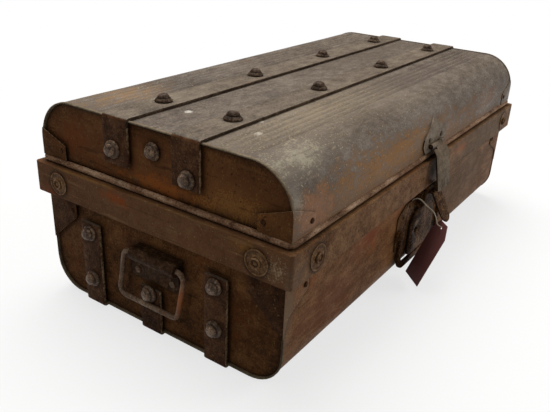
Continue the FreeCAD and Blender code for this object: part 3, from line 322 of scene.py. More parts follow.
# tones are dark, middle and light; rust is its colour, where it begins and how much of it there is; a zone is
# its place, size, colour, how much of it shows, how ragged its edge is, where its core begins, and its grit
looks = {
    # the grey, pale tones of the lid's top are partly painted sheen and partly the paint's own tone
    "LidPaint": {
        "tones": ((78, 68, 59), (106, 94, 83), (133, 121, 108)), "rust": ((112, 80, 52), 0.6, 0.5),
        "patchScale": 7.0, "mottleScale": 80.0, "mottleGrain": (0.6, 1.0, 1.0), "grit": 0.55,
        "scratchGrain": (0.1, 1, 1), "lightScratch": 0.35, "speckScale": 360.0, "specks": 0.8,
        "speckColour": (184, 166, 134), "gloss": (0.4, 0.58), "specular": 0.12,
        "zones": [
            ((-0.16, -0.24, 0.22), (0.62, 0.09, 0.08), (128, 96, 66), 0.95, 1.6, 0.45, 0),
            ((-0.17, -0.22, 0.254), (0.2, 0.03, 0.028), (158, 112, 60), 0.9, 3.0, 0.0, 3.6),
            ((-0.375, -0.22, 0.245), (0.07, 0.03, 0.035), (164, 118, 88), 0.9, 2.0, 0.1, 1.0),
            ((0.26, -0.22, 0.255), (0.1, 0.03, 0.028), (128, 88, 56), 0.6, 2.6, 0.0, 1.6),
            ((0, 0.24, 0.22), (0.9, 0.09, 0.075), (112, 84, 60), 0.9, 1.6, 0.3, 0),
            # the next two zones are painted highlight: a pale patch on the front-left shoulder of the lid and
            # a soft band down its front-left corner
            ((-0.36, -0.18, 0.299), (0.09, 0.032, 0.022), (172, 163, 142), 0.75, 2.6, 0.0, 2.0),
            ((-0.405, -0.215, 0.268), (0.018, 0.02, 0.022), (168, 160, 142), 0.7, 2.4, 0.0, 2.0),
            ((-0.33, 0.14, 0.311), (0.09, 0.05, 0.02), (158, 124, 84), 0.6, 3.4, 0.0, 2.8),
            ((0.18, 0.02, 0.311), (0.28, 0.12, 0.02), (92, 80, 69), 0.6, 1.8, 0.1, 0),
            ((0.08, -0.13, 0.311), (0.22, 0.05, 0.03), (100, 88, 80), 0.6, 1.8, 0.1, 0),
            ((-0.328, 0.013, 0.311), (0.007, 0.006, 0.01), (214, 208, 196), 0.9, 1.0, 0.3, 3.5),
            ((-0.337, -0.111, 0.311), (0.008, 0.007, 0.01), (206, 198, 182), 0.9, 1.0, 0.3, 4.0),
            ((-0.296, -0.087, 0.311), (0.005, 0.005, 0.01), (204, 196, 180), 0.9, 1.0, 0.3, 3.0),
            ((-0.22, -0.12, 0.311), (0.22, 0.05, 0.02), (176, 158, 128), 0.5, 2.6, 0.0, 6.0),
        ],
    },
    "EndPaint": {
        "tones": ((56, 38, 24), (98, 64, 38), (130, 90, 54)), "rust": ((112, 62, 30), 0.56, 0.5),
        "shift": 5.0, "patchScale": 13.0, "scratchScale": 110.0, "scratchGrain": (1, 0.12, 1),
        "lightScratch": 0.25, "darkScratch": 0.5, "speckColour": (150, 124, 76), "pits": 0.7,
        "gloss": (0.45, 0.62), "specular": 0.02,
        "zones": [
            ((-0.41, 0.0, 0.265), (0.03, 0.3, 0.055), (120, 76, 46), 0.6, 1.2, 0.3, 0),
            ((-0.41, -0.01, 0.233), (0.03, 0.1, 0.018), (156, 90, 42), 0.8, 2.6, 0.0, 2.4),
            ((-0.41, -0.13, 0.24), (0.03, 0.065, 0.026), (156, 110, 58), 0.6, 3.0, 0.0, 5.0),
            ((-0.41, 0.155, 0.26), (0.03, 0.04, 0.035), (124, 66, 34), 0.6, 2.4, 0.0, 1.4),
            ((-0.41, -0.15, 0.09), (0.03, 0.05, 0.05), (108, 62, 32), 0.4, 2.6, 0.0, 1.2),
            ((-0.41, -0.09, 0.18), (0.03, 0.03, 0.02), (132, 104, 58), 0.5, 2.6, 0.0, 2.4),
            # dark patch under the collar at the front corner of the left end: painted shadow of the collar
            ((-0.416, -0.19, 0.125), (0.012, 0.07, 0.075), (64, 38, 21), 0.8, 1.0, 0.2, 0),
        ],
    },
    "FrontPaint": {
        "tones": ((86, 58, 35), (124, 84, 52), (150, 108, 68)), "rust": ((146, 84, 42), 0.55, 0.6),
        "shift": 9.0, "mottleGrain": (0.55, 1.0, 1.0), "grit": 0.5, "scratchGrain": (0.1, 1, 1),
        "lightScratch": 0.45, "darkScratch": 0.4, "speckColour": (176, 144, 98), "pits": 0.4,
        "gloss": (0.45, 0.66), "specular": 0.06,
        "zones": [
            ((-0.19, -0.215, 0.14), (0.07, 0.03, 0.03), (134, 70, 46), 0.7, 2.2, 0.0, 1.2),
            ((0.2, -0.215, 0.12), (0.3, 0.03, 0.12), (104, 82, 62), 0.7, 1.8, 0.2, 0),
            # a painted highlight down the rounded front-left corner of the base
            ((-0.41, -0.215, 0.13), (0.022, 0.02, 0.1), (134, 112, 90), 0.7, 1.8, 0.1, 0),
            ((-0.3, -0.215, 0.08), (0.13, 0.03, 0.05), (112, 66, 40), 0.6, 2.0, 0.1, 0),
        ],
    },
    "CollarPaint": {
        "tones": ((80, 56, 37), (122, 86, 57), (152, 116, 78)), "rust": ((122, 68, 36), 0.55, 0.55),
        "shift": 13.0, "scratchGrain": (0.06, 0.06, 1), "lightScratch": 0.35, "darkScratch": 0.5,
        "speckColour": (172, 148, 100), "pits": 0.5, "gloss": (0.45, 0.62), "specular": 0.04,
        "zones": [
            ((-0.445, 0.0, 0.19), (0.035, 0.5, 0.09), (104, 70, 47), 0.65, 0.8, 0.7, 0),
            ((-0.43, 0.12, 0.215), (0.012, 0.1, 0.006), (152, 112, 60), 0.6, 1.8, 0.1, 1.5),
            ((-0.43, -0.05, 0.215), (0.012, 0.12, 0.004), (150, 122, 78), 0.5, 1.6, 0.1, 2.0),
            ((-0.427, 0.06, 0.2), (0.012, 0.035, 0.012), (150, 74, 30), 0.75, 2.4, 0.0, 1.4),
            ((-0.427, -0.165, 0.203), (0.012, 0.03, 0.011), (160, 112, 54), 0.6, 2.6, 0.0, 3.2),
            ((-0.427, -0.205, 0.188), (0.012, 0.016, 0.017), (196, 172, 138), 0.6, 4.4, -0.6, 5.0),
            ((-0.427, 0.2, 0.17), (0.012, 0.04, 0.012), (128, 60, 34), 0.6, 2.4, 0.0, 1.2),
            ((-0.415, -0.23, 0.18), (0.05, 0.012, 0.04), (118, 98, 82), 0.6, 2.2, 0.0, 0),
            ((0.25, -0.23, 0.19), (0.25, 0.012, 0.06), (106, 88, 70), 0.7, 1.6, 0.2, 0),
            ((0.12, -0.23, 0.195), (0.04, 0.012, 0.012), (172, 96, 50), 0.6, 2.4, 0.0, 1.6),
        ],
    },
    # greyer and paler than StrapEnd on the same strap: partly painted sheen, partly the paint's own tone
    "StrapTop": {
        "tones": ((78, 67, 56), (109, 96, 82), (135, 121, 104)), "rust": ((108, 76, 52), 0.6, 0.45),
        "shift": 19.0, "mottleGrain": (0.6, 1.0, 1.0), "grit": 0.55, "scratchGrain": (0.1, 1, 1),
        "lightScratch": 0.35, "specks": 0.6, "speckColour": (176, 164, 138), "gloss": (0.4, 0.58),
        "specular": 0.12,
        "zones": [
            ((-0.315, 0.073, 0.313), (0.03, 0.022, 0.01), (186, 172, 146), 0.8, 2.6, -0.4, 5.0),
        ],
    },
    "StrapEnd": {
        "tones": ((44, 29, 19), (80, 52, 34), (116, 82, 56)), "rust": ((112, 60, 30), 0.58, 0.5),
        "shift": 21.0, "scratchGrain": (1, 0.12, 1), "lightScratch": 0.25,
        "speckColour": (150, 128, 92), "specular": 0.03,
    },
    "ShieldPaint": {
        "tones": ((96, 83, 69), (128, 112, 94), (152, 136, 116)), "rust": ((118, 88, 62), 0.6, 0.4),
        "shift": 39.0, "mottleScale": 90.0, "pits": 0.4, "specular": 0.08,
    },
    # end faces of the corner plates under the collar: a darker copy of the end paint, painted shadow of the
    # collar
    "GussetEndShadow": {
        "tones": ((38, 24, 14), (70, 44, 26), (104, 70, 42)), "rust": ((96, 50, 26), 0.58, 0.5),
        "shift": 22.0, "lightScratch": 0.25, "speckColour": (150, 124, 84), "specular": 0.03,
    },
    # flanks of the straps above the bend: a dark copy of the strap paint, painted shade
    "StrapFlankShade": {
        "tones": ((46, 35, 27), (72, 58, 46), (108, 90, 73)), "rust": ((70, 46, 30), 0.57, 0.6),
        "shift": 25.0, "specks": 0.3, "gloss": (0.55, 0.7),
    },
    # side faces of the hasp, shield, lock lip and case that look along X: a near-black paint, painted shade
    "StrapSideShade": {
        "tones": ((20, 13, 9), (34, 23, 15), (62, 46, 32)), "rust": ((48, 26, 14), 0.55, 0.6),
        "shift": 24.0, "specks": 0.3, "gloss": (0.6, 0.75),
    },
    "StudTop": {
        "tones": ((44, 33, 26), (72, 56, 44), (120, 99, 80)), "rust": ((84, 52, 34), 0.58, 0.6),
        "shift": 33.0, "patchScale": 90.0, "mottleScale": 180.0, "grit": 0.5, "specks": 0.3,
        "pits": 0.6, "gloss": (0.38, 0.6), "specular": 0.08,
    },
    "StudEnd": {
        "tones": ((54, 39, 30), (104, 82, 66), (182, 149, 118)), "rust": ((110, 68, 42), 0.56, 0.6),
        "shift": 29.0, "patchScale": 90.0, "mottleScale": 180.0, "grit": 0.5, "specks": 0.3,
        "pits": 0.6, "gloss": (0.3, 0.5), "specular": 0.2,
    },
    "HandleIron": {
        "tones": ((86, 66, 52), (130, 106, 86), (166, 142, 118)), "rust": ((142, 86, 54), 0.58, 0.6),
        "shift": 31.0, "patchScale": 30.0, "mottleScale": 150.0, "specks": 0.3, "pits": 0.5,
        "gloss": (0.36, 0.55), "specular": 0.08,
        "zones": [
            ((-0.4248, -0.055, 0.085), (0.02, 0.016, 0.04), (176, 104, 60), 0.8, 1.6, 0.2, 0),
        ],
    },
    "HandlePlate": {
        "tones": ((38, 26, 17), (66, 46, 31), (104, 78, 56)), "rust": ((100, 58, 34), 0.58, 0.5),
        "shift": 35.0, "patchScale": 30.0, "mottleScale": 140.0, "specks": 0.4, "pits": 0.6,
        "gloss": (0.4, 0.6), "specular": 0.04,
    },
    "HaspIron": {
        "tones": ((78, 66, 52), (110, 94, 77), (138, 121, 101)), "rust": ((98, 72, 52), 0.62, 0.5),
        "shift": 37.0, "patchScale": 25.0, "mottleScale": 100.0, "grit": 0.4, "specks": 0.3,
        "pits": 0.5, "specular": 0.03,
    },
    "LockIron": {
        "tones": ((38, 23, 14), (74, 49, 30), (136, 98, 62)), "rust": ((84, 48, 28), 0.55, 0.5),
        "shift": 41.0, "patchScale": 30.0, "mottleScale": 130.0, "grit": 0.5, "specks": 0.6,
        "speckColour": (160, 142, 118), "pits": 0.6, "gloss": (0.36, 0.58), "specular": 0.02,
        "zones": [
            ((-0.031, -0.2225, 0.075), (0.022, 0.02, 0.026), (44, 25, 15), 0.75, 1.2, 0.2, 0),
            # a painted highlight on the case near the keyhole
            ((-0.027, -0.2225, 0.101), (0.012, 0.02, 0.009), (190, 160, 130), 0.9, 1.8, 0.3, 2.0),
            ((-0.091, -0.218, 0.12), (0.01, 0.01, 0.016), (132, 96, 66), 0.6, 2.4, 0.0, 2.0),
        ],
    },
    "BeadPaint": {
        "tones": ((76, 52, 38), (150, 115, 88), (208, 178, 148)), "rust": ((112, 66, 40), 0.56, 0.5),
        "shift": 43.0, "patchScale": 24.0, "mottleGrain": (0.3, 0.3, 1.0), "grit": 0.35,
        "lightScratch": 0.35, "darkScratch": 0.5, "pits": 0.7, "gloss": (0.4, 0.6), "specular": 0.04,
    },
    "InsidePaint": {
        "tones": ((92, 80, 64), (118, 104, 84), (140, 126, 104)), "rust": ((110, 72, 44), 0.58, 0.7),
        "shift": 53.0, "specks": 0.2, "pits": 0.4, "gloss": (0.55, 0.75),
    },
    "RosettePaint": {
        "tones": ((88, 62, 41), (130, 93, 62), (176, 142, 102)), "rust": ((122, 70, 38), 0.58, 0.5),
        "shift": 15.0, "patchScale": 40.0, "mottleScale": 130.0, "grit": 0.6, "pits": 0.5,
        "gloss": (0.4, 0.6),
    },
    "WornEdge": {
        "tones": ((84, 62, 44), (146, 120, 90), (204, 182, 146)), "rust": ((72, 46, 30), 0.53, 0.8),
        "shift": 47.0, "patchScale": 40.0, "mottleScale": 150.0, "grit": 0.7, "rustScale": 34.0,
        "specks": 0.2, "pits": 0.4, "gloss": (0.36, 0.52), "specular": 0.06,
    },
}
finish = {name: agedSteel(name, look) for name, look in looks.items()}
print("steel finishes ready:", len(finish))

card = {
    "dark": (126, 78, 76), "light": (148, 98, 94), "scuffed": (164, 122, 116), "fibreScale": 900.0,
    "fibreGrain": (1.0, 1.0, 3.0), "scuffScale": 60.0, "roughness": 0.62, "specular": 0.25,
}
cord = {
    "groove": (150, 130, 104), "ply": (240, 228, 204), "fluff": (168, 148, 120), "fluffScale": 700.0,
    "turns": 34.0, "slant": 2.0, "roughness": 0.85,
}


def cardStock():
    material, net, shader, place = newMaterial("TagCard")
    fibres = net.cloud(place, card["fibreScale"], 3.0, 0.6, card["fibreGrain"])
    scuffs = net.remap(net.cloud(place, card["scuffScale"], 5.0, 0.7), 0.55, 0.75, 0.0, 0.3)
    colour = net.blend(fibres, tone(card["dark"]), tone(card["light"]))
    net.feed(shader, {
        "Base Color": net.blend(scuffs, colour, tone(card["scuffed"])), "Roughness": card["roughness"],
        "Specular IOR Level": card["specular"], "Normal": net.bump(fibres, 0.2, 0.0003),
    })
    return material


def twine():
    # two plies that wind round the string, over its own UV map
    material, net, shader, place = newMaterial("Twine")
    spot = net.split(net.first("ShaderNodeUVMap"))
    turns = net.timesPlus(spot[0], cord["turns"], net.times(spot[1], cord["slant"]))
    plies = net.absolute(net.math("SINE", net.times(turns, math.pi)))
    fluff = net.times(net.cloud(place, cord["fluffScale"], 3.0, 0.6), 0.4)
    colour = net.blend(plies, tone(cord["groove"]), tone(cord["ply"]))
    net.feed(shader, {
        "Base Color": net.blend(fluff, colour, tone(cord["fluff"])), "Roughness": cord["roughness"],
        "Normal": net.bump(plies, 0.8, 0.0006),
    })
    return material


finish["TagCard"] = cardStock()
finish["Twine"] = twine()
print("card and twine ready")


# Working on meshes

hardAngle = 28.0      # sharper edges than this are eased
smoothAngle = 35.0    # and flatter ones than this are shaded smooth
soilAndShadeFall = 1.6        # how fast dirt and painted shade thin out away from the solids that gather them


def finishPiece(piece, nodes):
    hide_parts(*nodes)
    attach(piece, bodyOf[nodes[0]])


def finishSolid(node, name):
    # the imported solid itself, with a finish in its material slot
    piece = solids[node]
    if not piece.material_slots:
        piece.data.materials.append(finish[name])
    for place in piece.material_slots:
        place.material = finish[name]


def mergedCopy(node):
    # copy of a solid with its flat faces whole again
    mesh = solids[node].data.copy()
    mesh.materials.clear()
    work = bmesh.new()
    work.from_mesh(mesh)
    bmesh.ops.remove_doubles(work, verts=work.verts, dist=2e-6)
    bmesh.ops.dissolve_limit(work, angle_limit=math.radians(0.5), verts=work.verts, edges=work.edges)
    return mesh, work


def easeEdges(work, width, segments):
    # the new narrow faces get material index 1
    hard = [
        edge for edge in work.edges
        if len(edge.link_faces) == 2 and edge.calc_face_angle(0.0) > math.radians(hardAngle)
    ]
    bmesh.ops.bevel(
        work, geom=hard, offset=width, offset_type="OFFSET", segments=segments, profile=0.6,
        affect="EDGES", clamp_overlap=True, material=1, loop_slide=True,
    )


def sliced(work, steps):
    # cuts the mesh on evenly spaced planes, so that dents and soil have points to lie on
    for axis, step in enumerate(steps):
        if not step:
            continue
        spread = [vert.co[axis] for vert in work.verts]
        low, high = min(spread), max(spread)
        count = max(1, round((high - low) / step))
        facing = Vector([1.0 if index == axis else 0.0 for index in range(3)])
        for number in range(1, count):
            place = facing * (low + (high - low) * number / count)
            bmesh.ops.bisect_plane(
                work, geom=work.verts[:] + work.edges[:] + work.faces[:], plane_co=place, plane_no=facing,
                dist=1e-6,
            )


def dent(work, depth, scale, axis=None, inside=None):
    # shallow waves in the sheet, the same on both of its faces, none where inside() gives 0
    for vert in work.verts:
        push = noise.noise(vert.co * scale) * depth
        vert.co += (axis or vert.normal) * push * (inside(vert.co) if inside else 1.0)


def sheetFaces(mesh, byFacing):
    # one finish for each way a face looks, or a single one, and one more for the eased edges
    if isinstance(byFacing, str):
        byFacing = dict.fromkeys(("top", "end", "front"), byFacing)
    mesh.materials.clear()
    names = list(dict.fromkeys([*byFacing.values(), "WornEdge"]))
    for name in names:
        mesh.materials.append(finish[name])
    for face in mesh.polygons:
        axis = max(range(3), key=lambda index: abs(face.normal[index]))
        facing = byFacing[("end", "front", "top")[axis]]
        face.material_index = names.index("WornEdge" if face.material_index == 1 else facing)


def gatherSoilAndShade(mesh, names, reach, strength=0.85, outside=None):
    # dirt and painted shade on the sheet's points that lie near the solids standing on it, darkest against
    # them, kept in an attribute
    points, faces = [], []
    for name in names:
        stood = solids[name].data
        faces += [[len(points) + index for index in face.vertices] for face in stood.polygons]
        points += [vert.co.copy() for vert in stood.vertices]
    tree = BVHTree.FromPolygons(points, faces)
    values = []
    for vert in mesh.vertices:
        away = tree.find_nearest(vert.co, reach)[3]
        if away is None or (outside and not outside(vert)):
            away = reach
        values.append(strength * (1.0 - away / reach) ** soilAndShadeFall)
    mesh.attributes.new("soilAndShade", "FLOAT", "POINT").data.foreach_set("value", values)


def wornCopy(node, width, segments, byFacing, steps=(), shape=None, paint=None, name=None, angle=smoothAngle):
    # copy of a solid with eased edges; shape() moves its points, paint() changes its finishes and adds dirt
    # and painted shade
    mesh, work = mergedCopy(node)
    easeEdges(work, width, segments)
    sliced(work, steps)
    bmesh.ops.triangulate(work, faces=[face for face in work.faces if len(face.verts) > 4])
    if shape:
        shape(work)
    work.to_mesh(mesh)
    work.free()
    sheetFaces(mesh, byFacing)
    if paint:
        paint(mesh)
    mesh.shade_smooth()
    mesh.set_sharp_from_angle(angle=math.radians(angle))
    finishPiece(linked(name or node + "Worn", mesh), [node])


straps = {
    "names": ["lid_strap_front", "lid_strap_rear", "runner_front", "runner_middle", "runner_rear"],
    "edge": 0.0016, "mesh": (0.006, 0.006, 0.006), "bend": 0.3055, "soilAndShadeReach": 0.005,
    # the flanks get a dark finish, painted shade; the tops a greyer, paler one than the ends, partly painted
    # sheen
    "finish": {"top": "StrapTop", "end": "StrapEnd", "front": "StrapFlankShade"},
}
plates = {
    "lid_patch": {"edge": 0.0009, "finish": {"top": "WornEdge", "end": "EndPaint", "front": "LidPaint"}},
    "base_gusset": {"edge": 0.0006, "finish": {"top": "WornEdge", "end": "GussetEndShadow", "front": "FrontPaint"}},
}


def paintStrap(mesh):
    # below the bend the flanks take the pale worn-edge finish, wear with a painted highlight of the side
    # light on them; above it they keep a dark finish that is painted shade, and the eased edges take the
    # top's finish
    slots = {material.name: index for index, material in enumerate(mesh.materials)}
    for face in mesh.polygons:
        below = face.center.z < straps["bend"]
        if face.material_index == slots["StrapFlankShade"] and below:
            face.material_index = slots["WornEdge"]
        elif face.material_index == slots["WornEdge"] and not below:
            face.material_index = slots["StrapTop"]
    gatherSoilAndShade(mesh, [name for name in solids if "studs" in name], straps["soilAndShadeReach"])


for node in straps["names"]:
    wornCopy(node, straps["edge"], 2, straps["finish"], straps["mesh"], paint=paintStrap)
for kind, plate in plates.items():
    for node in nodesNamed([kind]):
        wornCopy(node, plate["edge"], 2, plate["finish"])
print("straps and corner plates ready")

panels = {
    "lid_end": {"mesh": (0, 0.006, 0.005), "waves": 0.0008, "reach": 0.010,
                "near": ["lid_strap", "lid_end_studs", "lid_bead", "lid_patch", "lid_shell"]},
    "base_end": {"mesh": (0, 0.006, 0.006), "waves": 0.0010, "reach": 0.012,
                 "near": ["runner_", "handle_plate", "base_gusset", "base_collar", "base_shell"]},
}
# the panel's own flange ends under the sheet's rolled rim; waves fade out on the way to that rim
panel = {
    "edge": 0.0004, "reach": 0.4112, "thickness": 0.0012, "rim": 0.012, "fade": 0.02, "waveScale": 16.0,
    "inward": -0.1,
}


def addEndPanel(kind, side):
    size = panels[kind]
    outerFace = panel["reach"] - panel["thickness"]

    def shape(work):
        for vert in work.verts:
            vert.co.x = max(-panel["reach"], min(panel["reach"], vert.co.x))
        high = max(vert.co.z for vert in work.verts)
        low = min(vert.co.z for vert in work.verts)
        wide = max(vert.co.y for vert in work.verts)

        def sunkFace(place):
            rim = min(high - place.z, place.z - low, wide - abs(place.y)) - panel["rim"]
            return min(1.0, max(0.0, rim / panel["fade"]))

        dent(work, size["waves"], panel["waveScale"], Vector((1, 0, 0)), sunkFace)

    def paint(mesh):
        mesh.materials.append(finish["InsidePaint"])
        for face in mesh.polygons:
            if abs(face.center.x) < outerFace or face.normal.x * face.center.x < panel["inward"]:
                face.material_index = len(mesh.materials) - 1
        # dirt and painted shade on the outer face next to the straps, studs, bead, plates and rim standing on
        # it
        near = nodesNamed(size["near"])
        gatherSoilAndShade(mesh, near, size["reach"], outside=lambda vert: abs(vert.co.x) > outerFace)

    wornCopy(kind + "_" + side, panel["edge"], 1, "EndPaint", size["mesh"], shape, paint)


for kind in panels:
    for side in ("left", "right"):
        addEndPanel(kind, side)
print("end panels ready")

collar = {
    "edge": 0.0018, "mesh": (0.006, 0.006, 0.005), "waves": 0.0006, "waveScale": 14.0,
    "near": ["collar_rosettes", "lid_bead", "hasp_leaf"], "soilAndShadeReach": 0.0065, "soilAndShade": 1.0,
}


def paintCollar(mesh):
    # its eased edges are painted too
    for face in mesh.polygons:
        face.material_index = 0
    # dirt and painted shade against the rosettes, and painted shadow in the gap under the bead and beside the
    # hasp leaf
    gatherSoilAndShade(mesh, collar["near"], collar["soilAndShadeReach"], collar["soilAndShade"])


wornCopy(
    "base_collar", collar["edge"], 3, "CollarPaint", collar["mesh"], name="collarWorn",
    shape=lambda work: dent(work, collar["waves"], collar["waveScale"]), paint=paintCollar,
)
print("collar ready")


# Geometry Nodes

def newTree(name, inputs):
    # empty tree with a geometry input and output, named sizes and a material
    tree = bpy.data.node_groups.new(name, "GeometryNodeTree")
    tree.interface.new_socket("Geometry", in_out="INPUT", socket_type="NodeSocketGeometry")
    tree.interface.new_socket("Geometry", in_out="OUTPUT", socket_type="NodeSocketGeometry")
    for label, value in inputs.items():
        kind = "NodeSocketInt" if isinstance(value, int) else "NodeSocketFloat"
        tree.interface.new_socket(label, in_out="INPUT", socket_type=kind).default_value = value
    tree.interface.new_socket("Material", in_out="INPUT", socket_type="NodeSocketMaterial")
    net = Net(tree)
    return net, net.put("NodeGroupInput").outputs


def closeTree(net, given, shape):
    # every tree ends by making its copies real and giving them their material
    real = net.first("GeometryNodeRealizeInstances", {0: shape})
    real = net.first("GeometryNodeSetShadeSmooth", {0: real})
    last = net.first("GeometryNodeSetMaterial", {0: real, "Material": given["Material"]})
    net.put("NodeGroupOutput", {0: last})
    return net.tree


def evaluatedMesh(piece):
    evaluated = piece.evaluated_get(bpy.context.evaluated_depsgraph_get())
    mesh = bpy.data.meshes.new_from_object(evaluated)
    piece.modifiers.clear()
    return mesh


def grown(name, data, tree, values):
    # runs a tree on some data and keeps its result as a plain mesh
    source = linked(name + "Source", data)
    modifier = source.modifiers.new("grow", "NODES")
    modifier.node_group = tree
    for item in tree.interface.items_tree:
        if item.in_out == "INPUT" and item.name in values:
            modifier[item.identifier] = values[item.name]
    mesh = evaluatedMesh(source)
    mesh.name = name
    bpy.data.objects.remove(source)
    return linked(name, mesh)


fullTurn = 6.28       # top of the random turn of a head on its seat


def turnedShape(net, outline, radius, height, sides):
    # grid rolled up round Z; rows are shares of the radius, the height and the dirt with painted shade in the
    # grooves under heads and round rims, from seat to crown
    rows = len(outline)
    grid, across, up = net.grid(sides + 1, rows)
    angle = net.times(net.add(across, 0.5), 2.0 * math.pi)
    along = net.add(up, 0.5)
    sweep = []
    for part, size in enumerate((radius, height, 1.0)):
        node = net.put("ShaderNodeFloatCurve", {"Value": along})
        curve = node.mapping.curves[0]
        for index, step in enumerate(outline):
            at = (index / (rows - 1.0), step[part] if part < len(step) else 0.0)
            if index in (0, rows - 1):
                curve.points[-1 if index else 0].location = at
            else:
                curve.points.new(*at)
        for point in curve.points:
            point.handle_type = "VECTOR"
        node.mapping.update()
        sweep.append(net.times(node.outputs[0], size))
    around = [net.times(net.math(turn, angle), sweep[0]) for turn in ("COSINE", "SINE")]
    grid = net.first(
        "GeometryNodeStoreNamedAttribute", {"Geometry": grid, "Name": "soilAndShade", "Value": sweep[2]},
        data_type="FLOAT", domain="POINT",
    )
    place = net.join(*around, sweep[1])
    rolled = net.first("GeometryNodeSetPosition", {"Geometry": grid, "Position": place})
    return net.first("GeometryNodeMergeByDistance", {"Geometry": rolled, "Distance": 1e-6})


def headTree(name, shapes, inputs):
    # one turned head, or a washer and a head, on every site; each of them leans and turns by itself
    net, given = newTree(name, dict(inputs, Seed=7))
    join = net.put("GeometryNodeJoinGeometry")
    for number, (label, sides, outline) in enumerate(shapes):
        shape = turnedShape(net, outline, given[label + " Radius"], given[label + " Height"], sides)
        facing = net.first("GeometryNodeInputNamedAttribute", {"Name": "facing"}, data_type="FLOAT_VECTOR")
        upright = net.first("FunctionNodeAlignRotationToVector", {"Vector": facing}, axis="Z")
        lean = given[label + " Lean"]
        back = net.times(lean, -1.0)
        seed = net.add(given["Seed"], float(number))
        chance = net.first("FunctionNodeRandomValue", {
            0: net.join(back, back), 1: net.join(lean, lean, fullTurn), "Seed": seed,
        }, data_type="FLOAT_VECTOR")
        wobble = net.first("FunctionNodeEulerToRotation", {0: chance})
        turn = net.first(
            "FunctionNodeRotateRotation", {"Rotation": upright, "Rotate By": wobble}, rotation_space="LOCAL",
        )
        size = net.put("FunctionNodeRandomValue", {
            2: net.take(1.0, given["Size Spread"]), 3: 1.0, "Seed": seed,
        }, data_type="FLOAT").outputs[1]
        copies = net.first("GeometryNodeInstanceOnPoints", {
            "Points": given["Geometry"], "Instance": shape, "Rotation": turn, "Scale": size,
        })
        net.feed(join, {0: copies})
    return closeTree(net, given, join.outputs[0])


def sitesOf(nodes):
    # seat and outward direction of every separate head in these solids
    sites = []
    for node in nodes:
        spare, work = mergedCopy(node)
        waiting = set(work.verts)
        while waiting:
            queue = [waiting.pop()]
            island = []
            while queue:
                vert = queue.pop()
                island.append(vert.co.copy())
                for edge in vert.link_edges:
                    other = edge.other_vert(vert)
                    if other in waiting:
                        waiting.remove(other)
                        queue.append(other)
            low = Vector([min(point[axis] for point in island) for axis in range(3)])
            high = Vector([max(point[axis] for point in island) for axis in range(3)])
            axis = min(range(3), key=lambda index: high[index] - low[index])
            place = (low + high) / 2.0
            outward = 1.0 if place[axis] > 0 else -1.0
            place[axis] = (low if outward > 0 else high)[axis]
            sites.append((place, [outward if index == axis else 0.0 for index in range(3)]))
        work.free()
        bpy.data.meshes.remove(spare)
    sites.sort(key=lambda site: [round(value, 4) for value in site[0]])   # the same order on every run
    mesh = bpy.data.meshes.new("sites")
    mesh.from_pydata([place for place, facing in sites], [], [])
    layer = mesh.attributes.new("facing", "FLOAT_VECTOR", "POINT")
    layer.data.foreach_set("vector", [value for place, facing in sites for value in facing])
    return mesh


headSizes = {"Head Radius": 0.004, "Head Height": 0.0024, "Head Lean": 0.02, "Size Spread": 0.04}
# each shape is its label, its sides and its outline
headKinds = {
    "studs": {
        "sizes": {
            "Washer Radius": 0.0132, "Washer Height": 0.0060, "Washer Lean": 0.05,
            "Head Radius": 0.0098, "Head Height": 0.0117, "Head Lean": 0.13, "Size Spread": 0.06,
        },
        "shapes": [
            ("Washer", 22, [
                (0, 0), (1.0, 0, 0.8), (1.0, 0.22, 0.3), (0.965, 0.42), (0.88, 0.66), (0.80, 0.82, 0.3),
                (0.72, 1.0, 0.9), (0.62, 0.98, 1.0), (0.6, 0.7, 1.0), (0, 0.7),
            ]),
            ("Head", 22, [
                (0, 0.30), (0.84, 0.30, 1.0), (0.97, 0.40, 1.0), (1.0, 0.50, 0.6), (0.97, 0.62),
                (0.88, 0.75), (0.78, 0.87), (0.56, 0.965), (0.26, 1.0), (0, 1.0),
            ]),
        ],
    },
    "rivets": {"sizes": headSizes, "shapes": [("Head", 16, [
        (0, 0), (1.0, 0, 1.0), (1.0, 0.12, 0.8), (0.97, 0.36), (0.86, 0.62), (0.66, 0.84), (0.38, 0.96),
        (0, 1.0),
    ])]},
    "rosettes": {"sizes": headSizes, "shapes": [("Head", 36, [
        (0, 0), (1.0, 0, 0.8), (1.0, 0.55, 0.3), (0.975, 0.95), (0.93, 1.0), (0.88, 0.8, 0.4),
        (0.86, 0.62, 0.7), (0.60, 0.62, 0.25), (0.55, 0.78), (0.5, 0.9), (0, 0.9),
    ])]},
    "rings": {"sizes": headSizes, "shapes": [("Head", 28, [
        (0, 0), (1.0, 0, 1.0), (1.0, 0.35, 0.5), (0.95, 0.75), (0.82, 1.0), (0.68, 0.86, 0.3),
        (0.6, 0.45, 0.9), (0.42, 0.4, 0.9), (0.3, 0.62, 0.3), (0.12, 0.75), (0, 0.75),
    ])]},
}
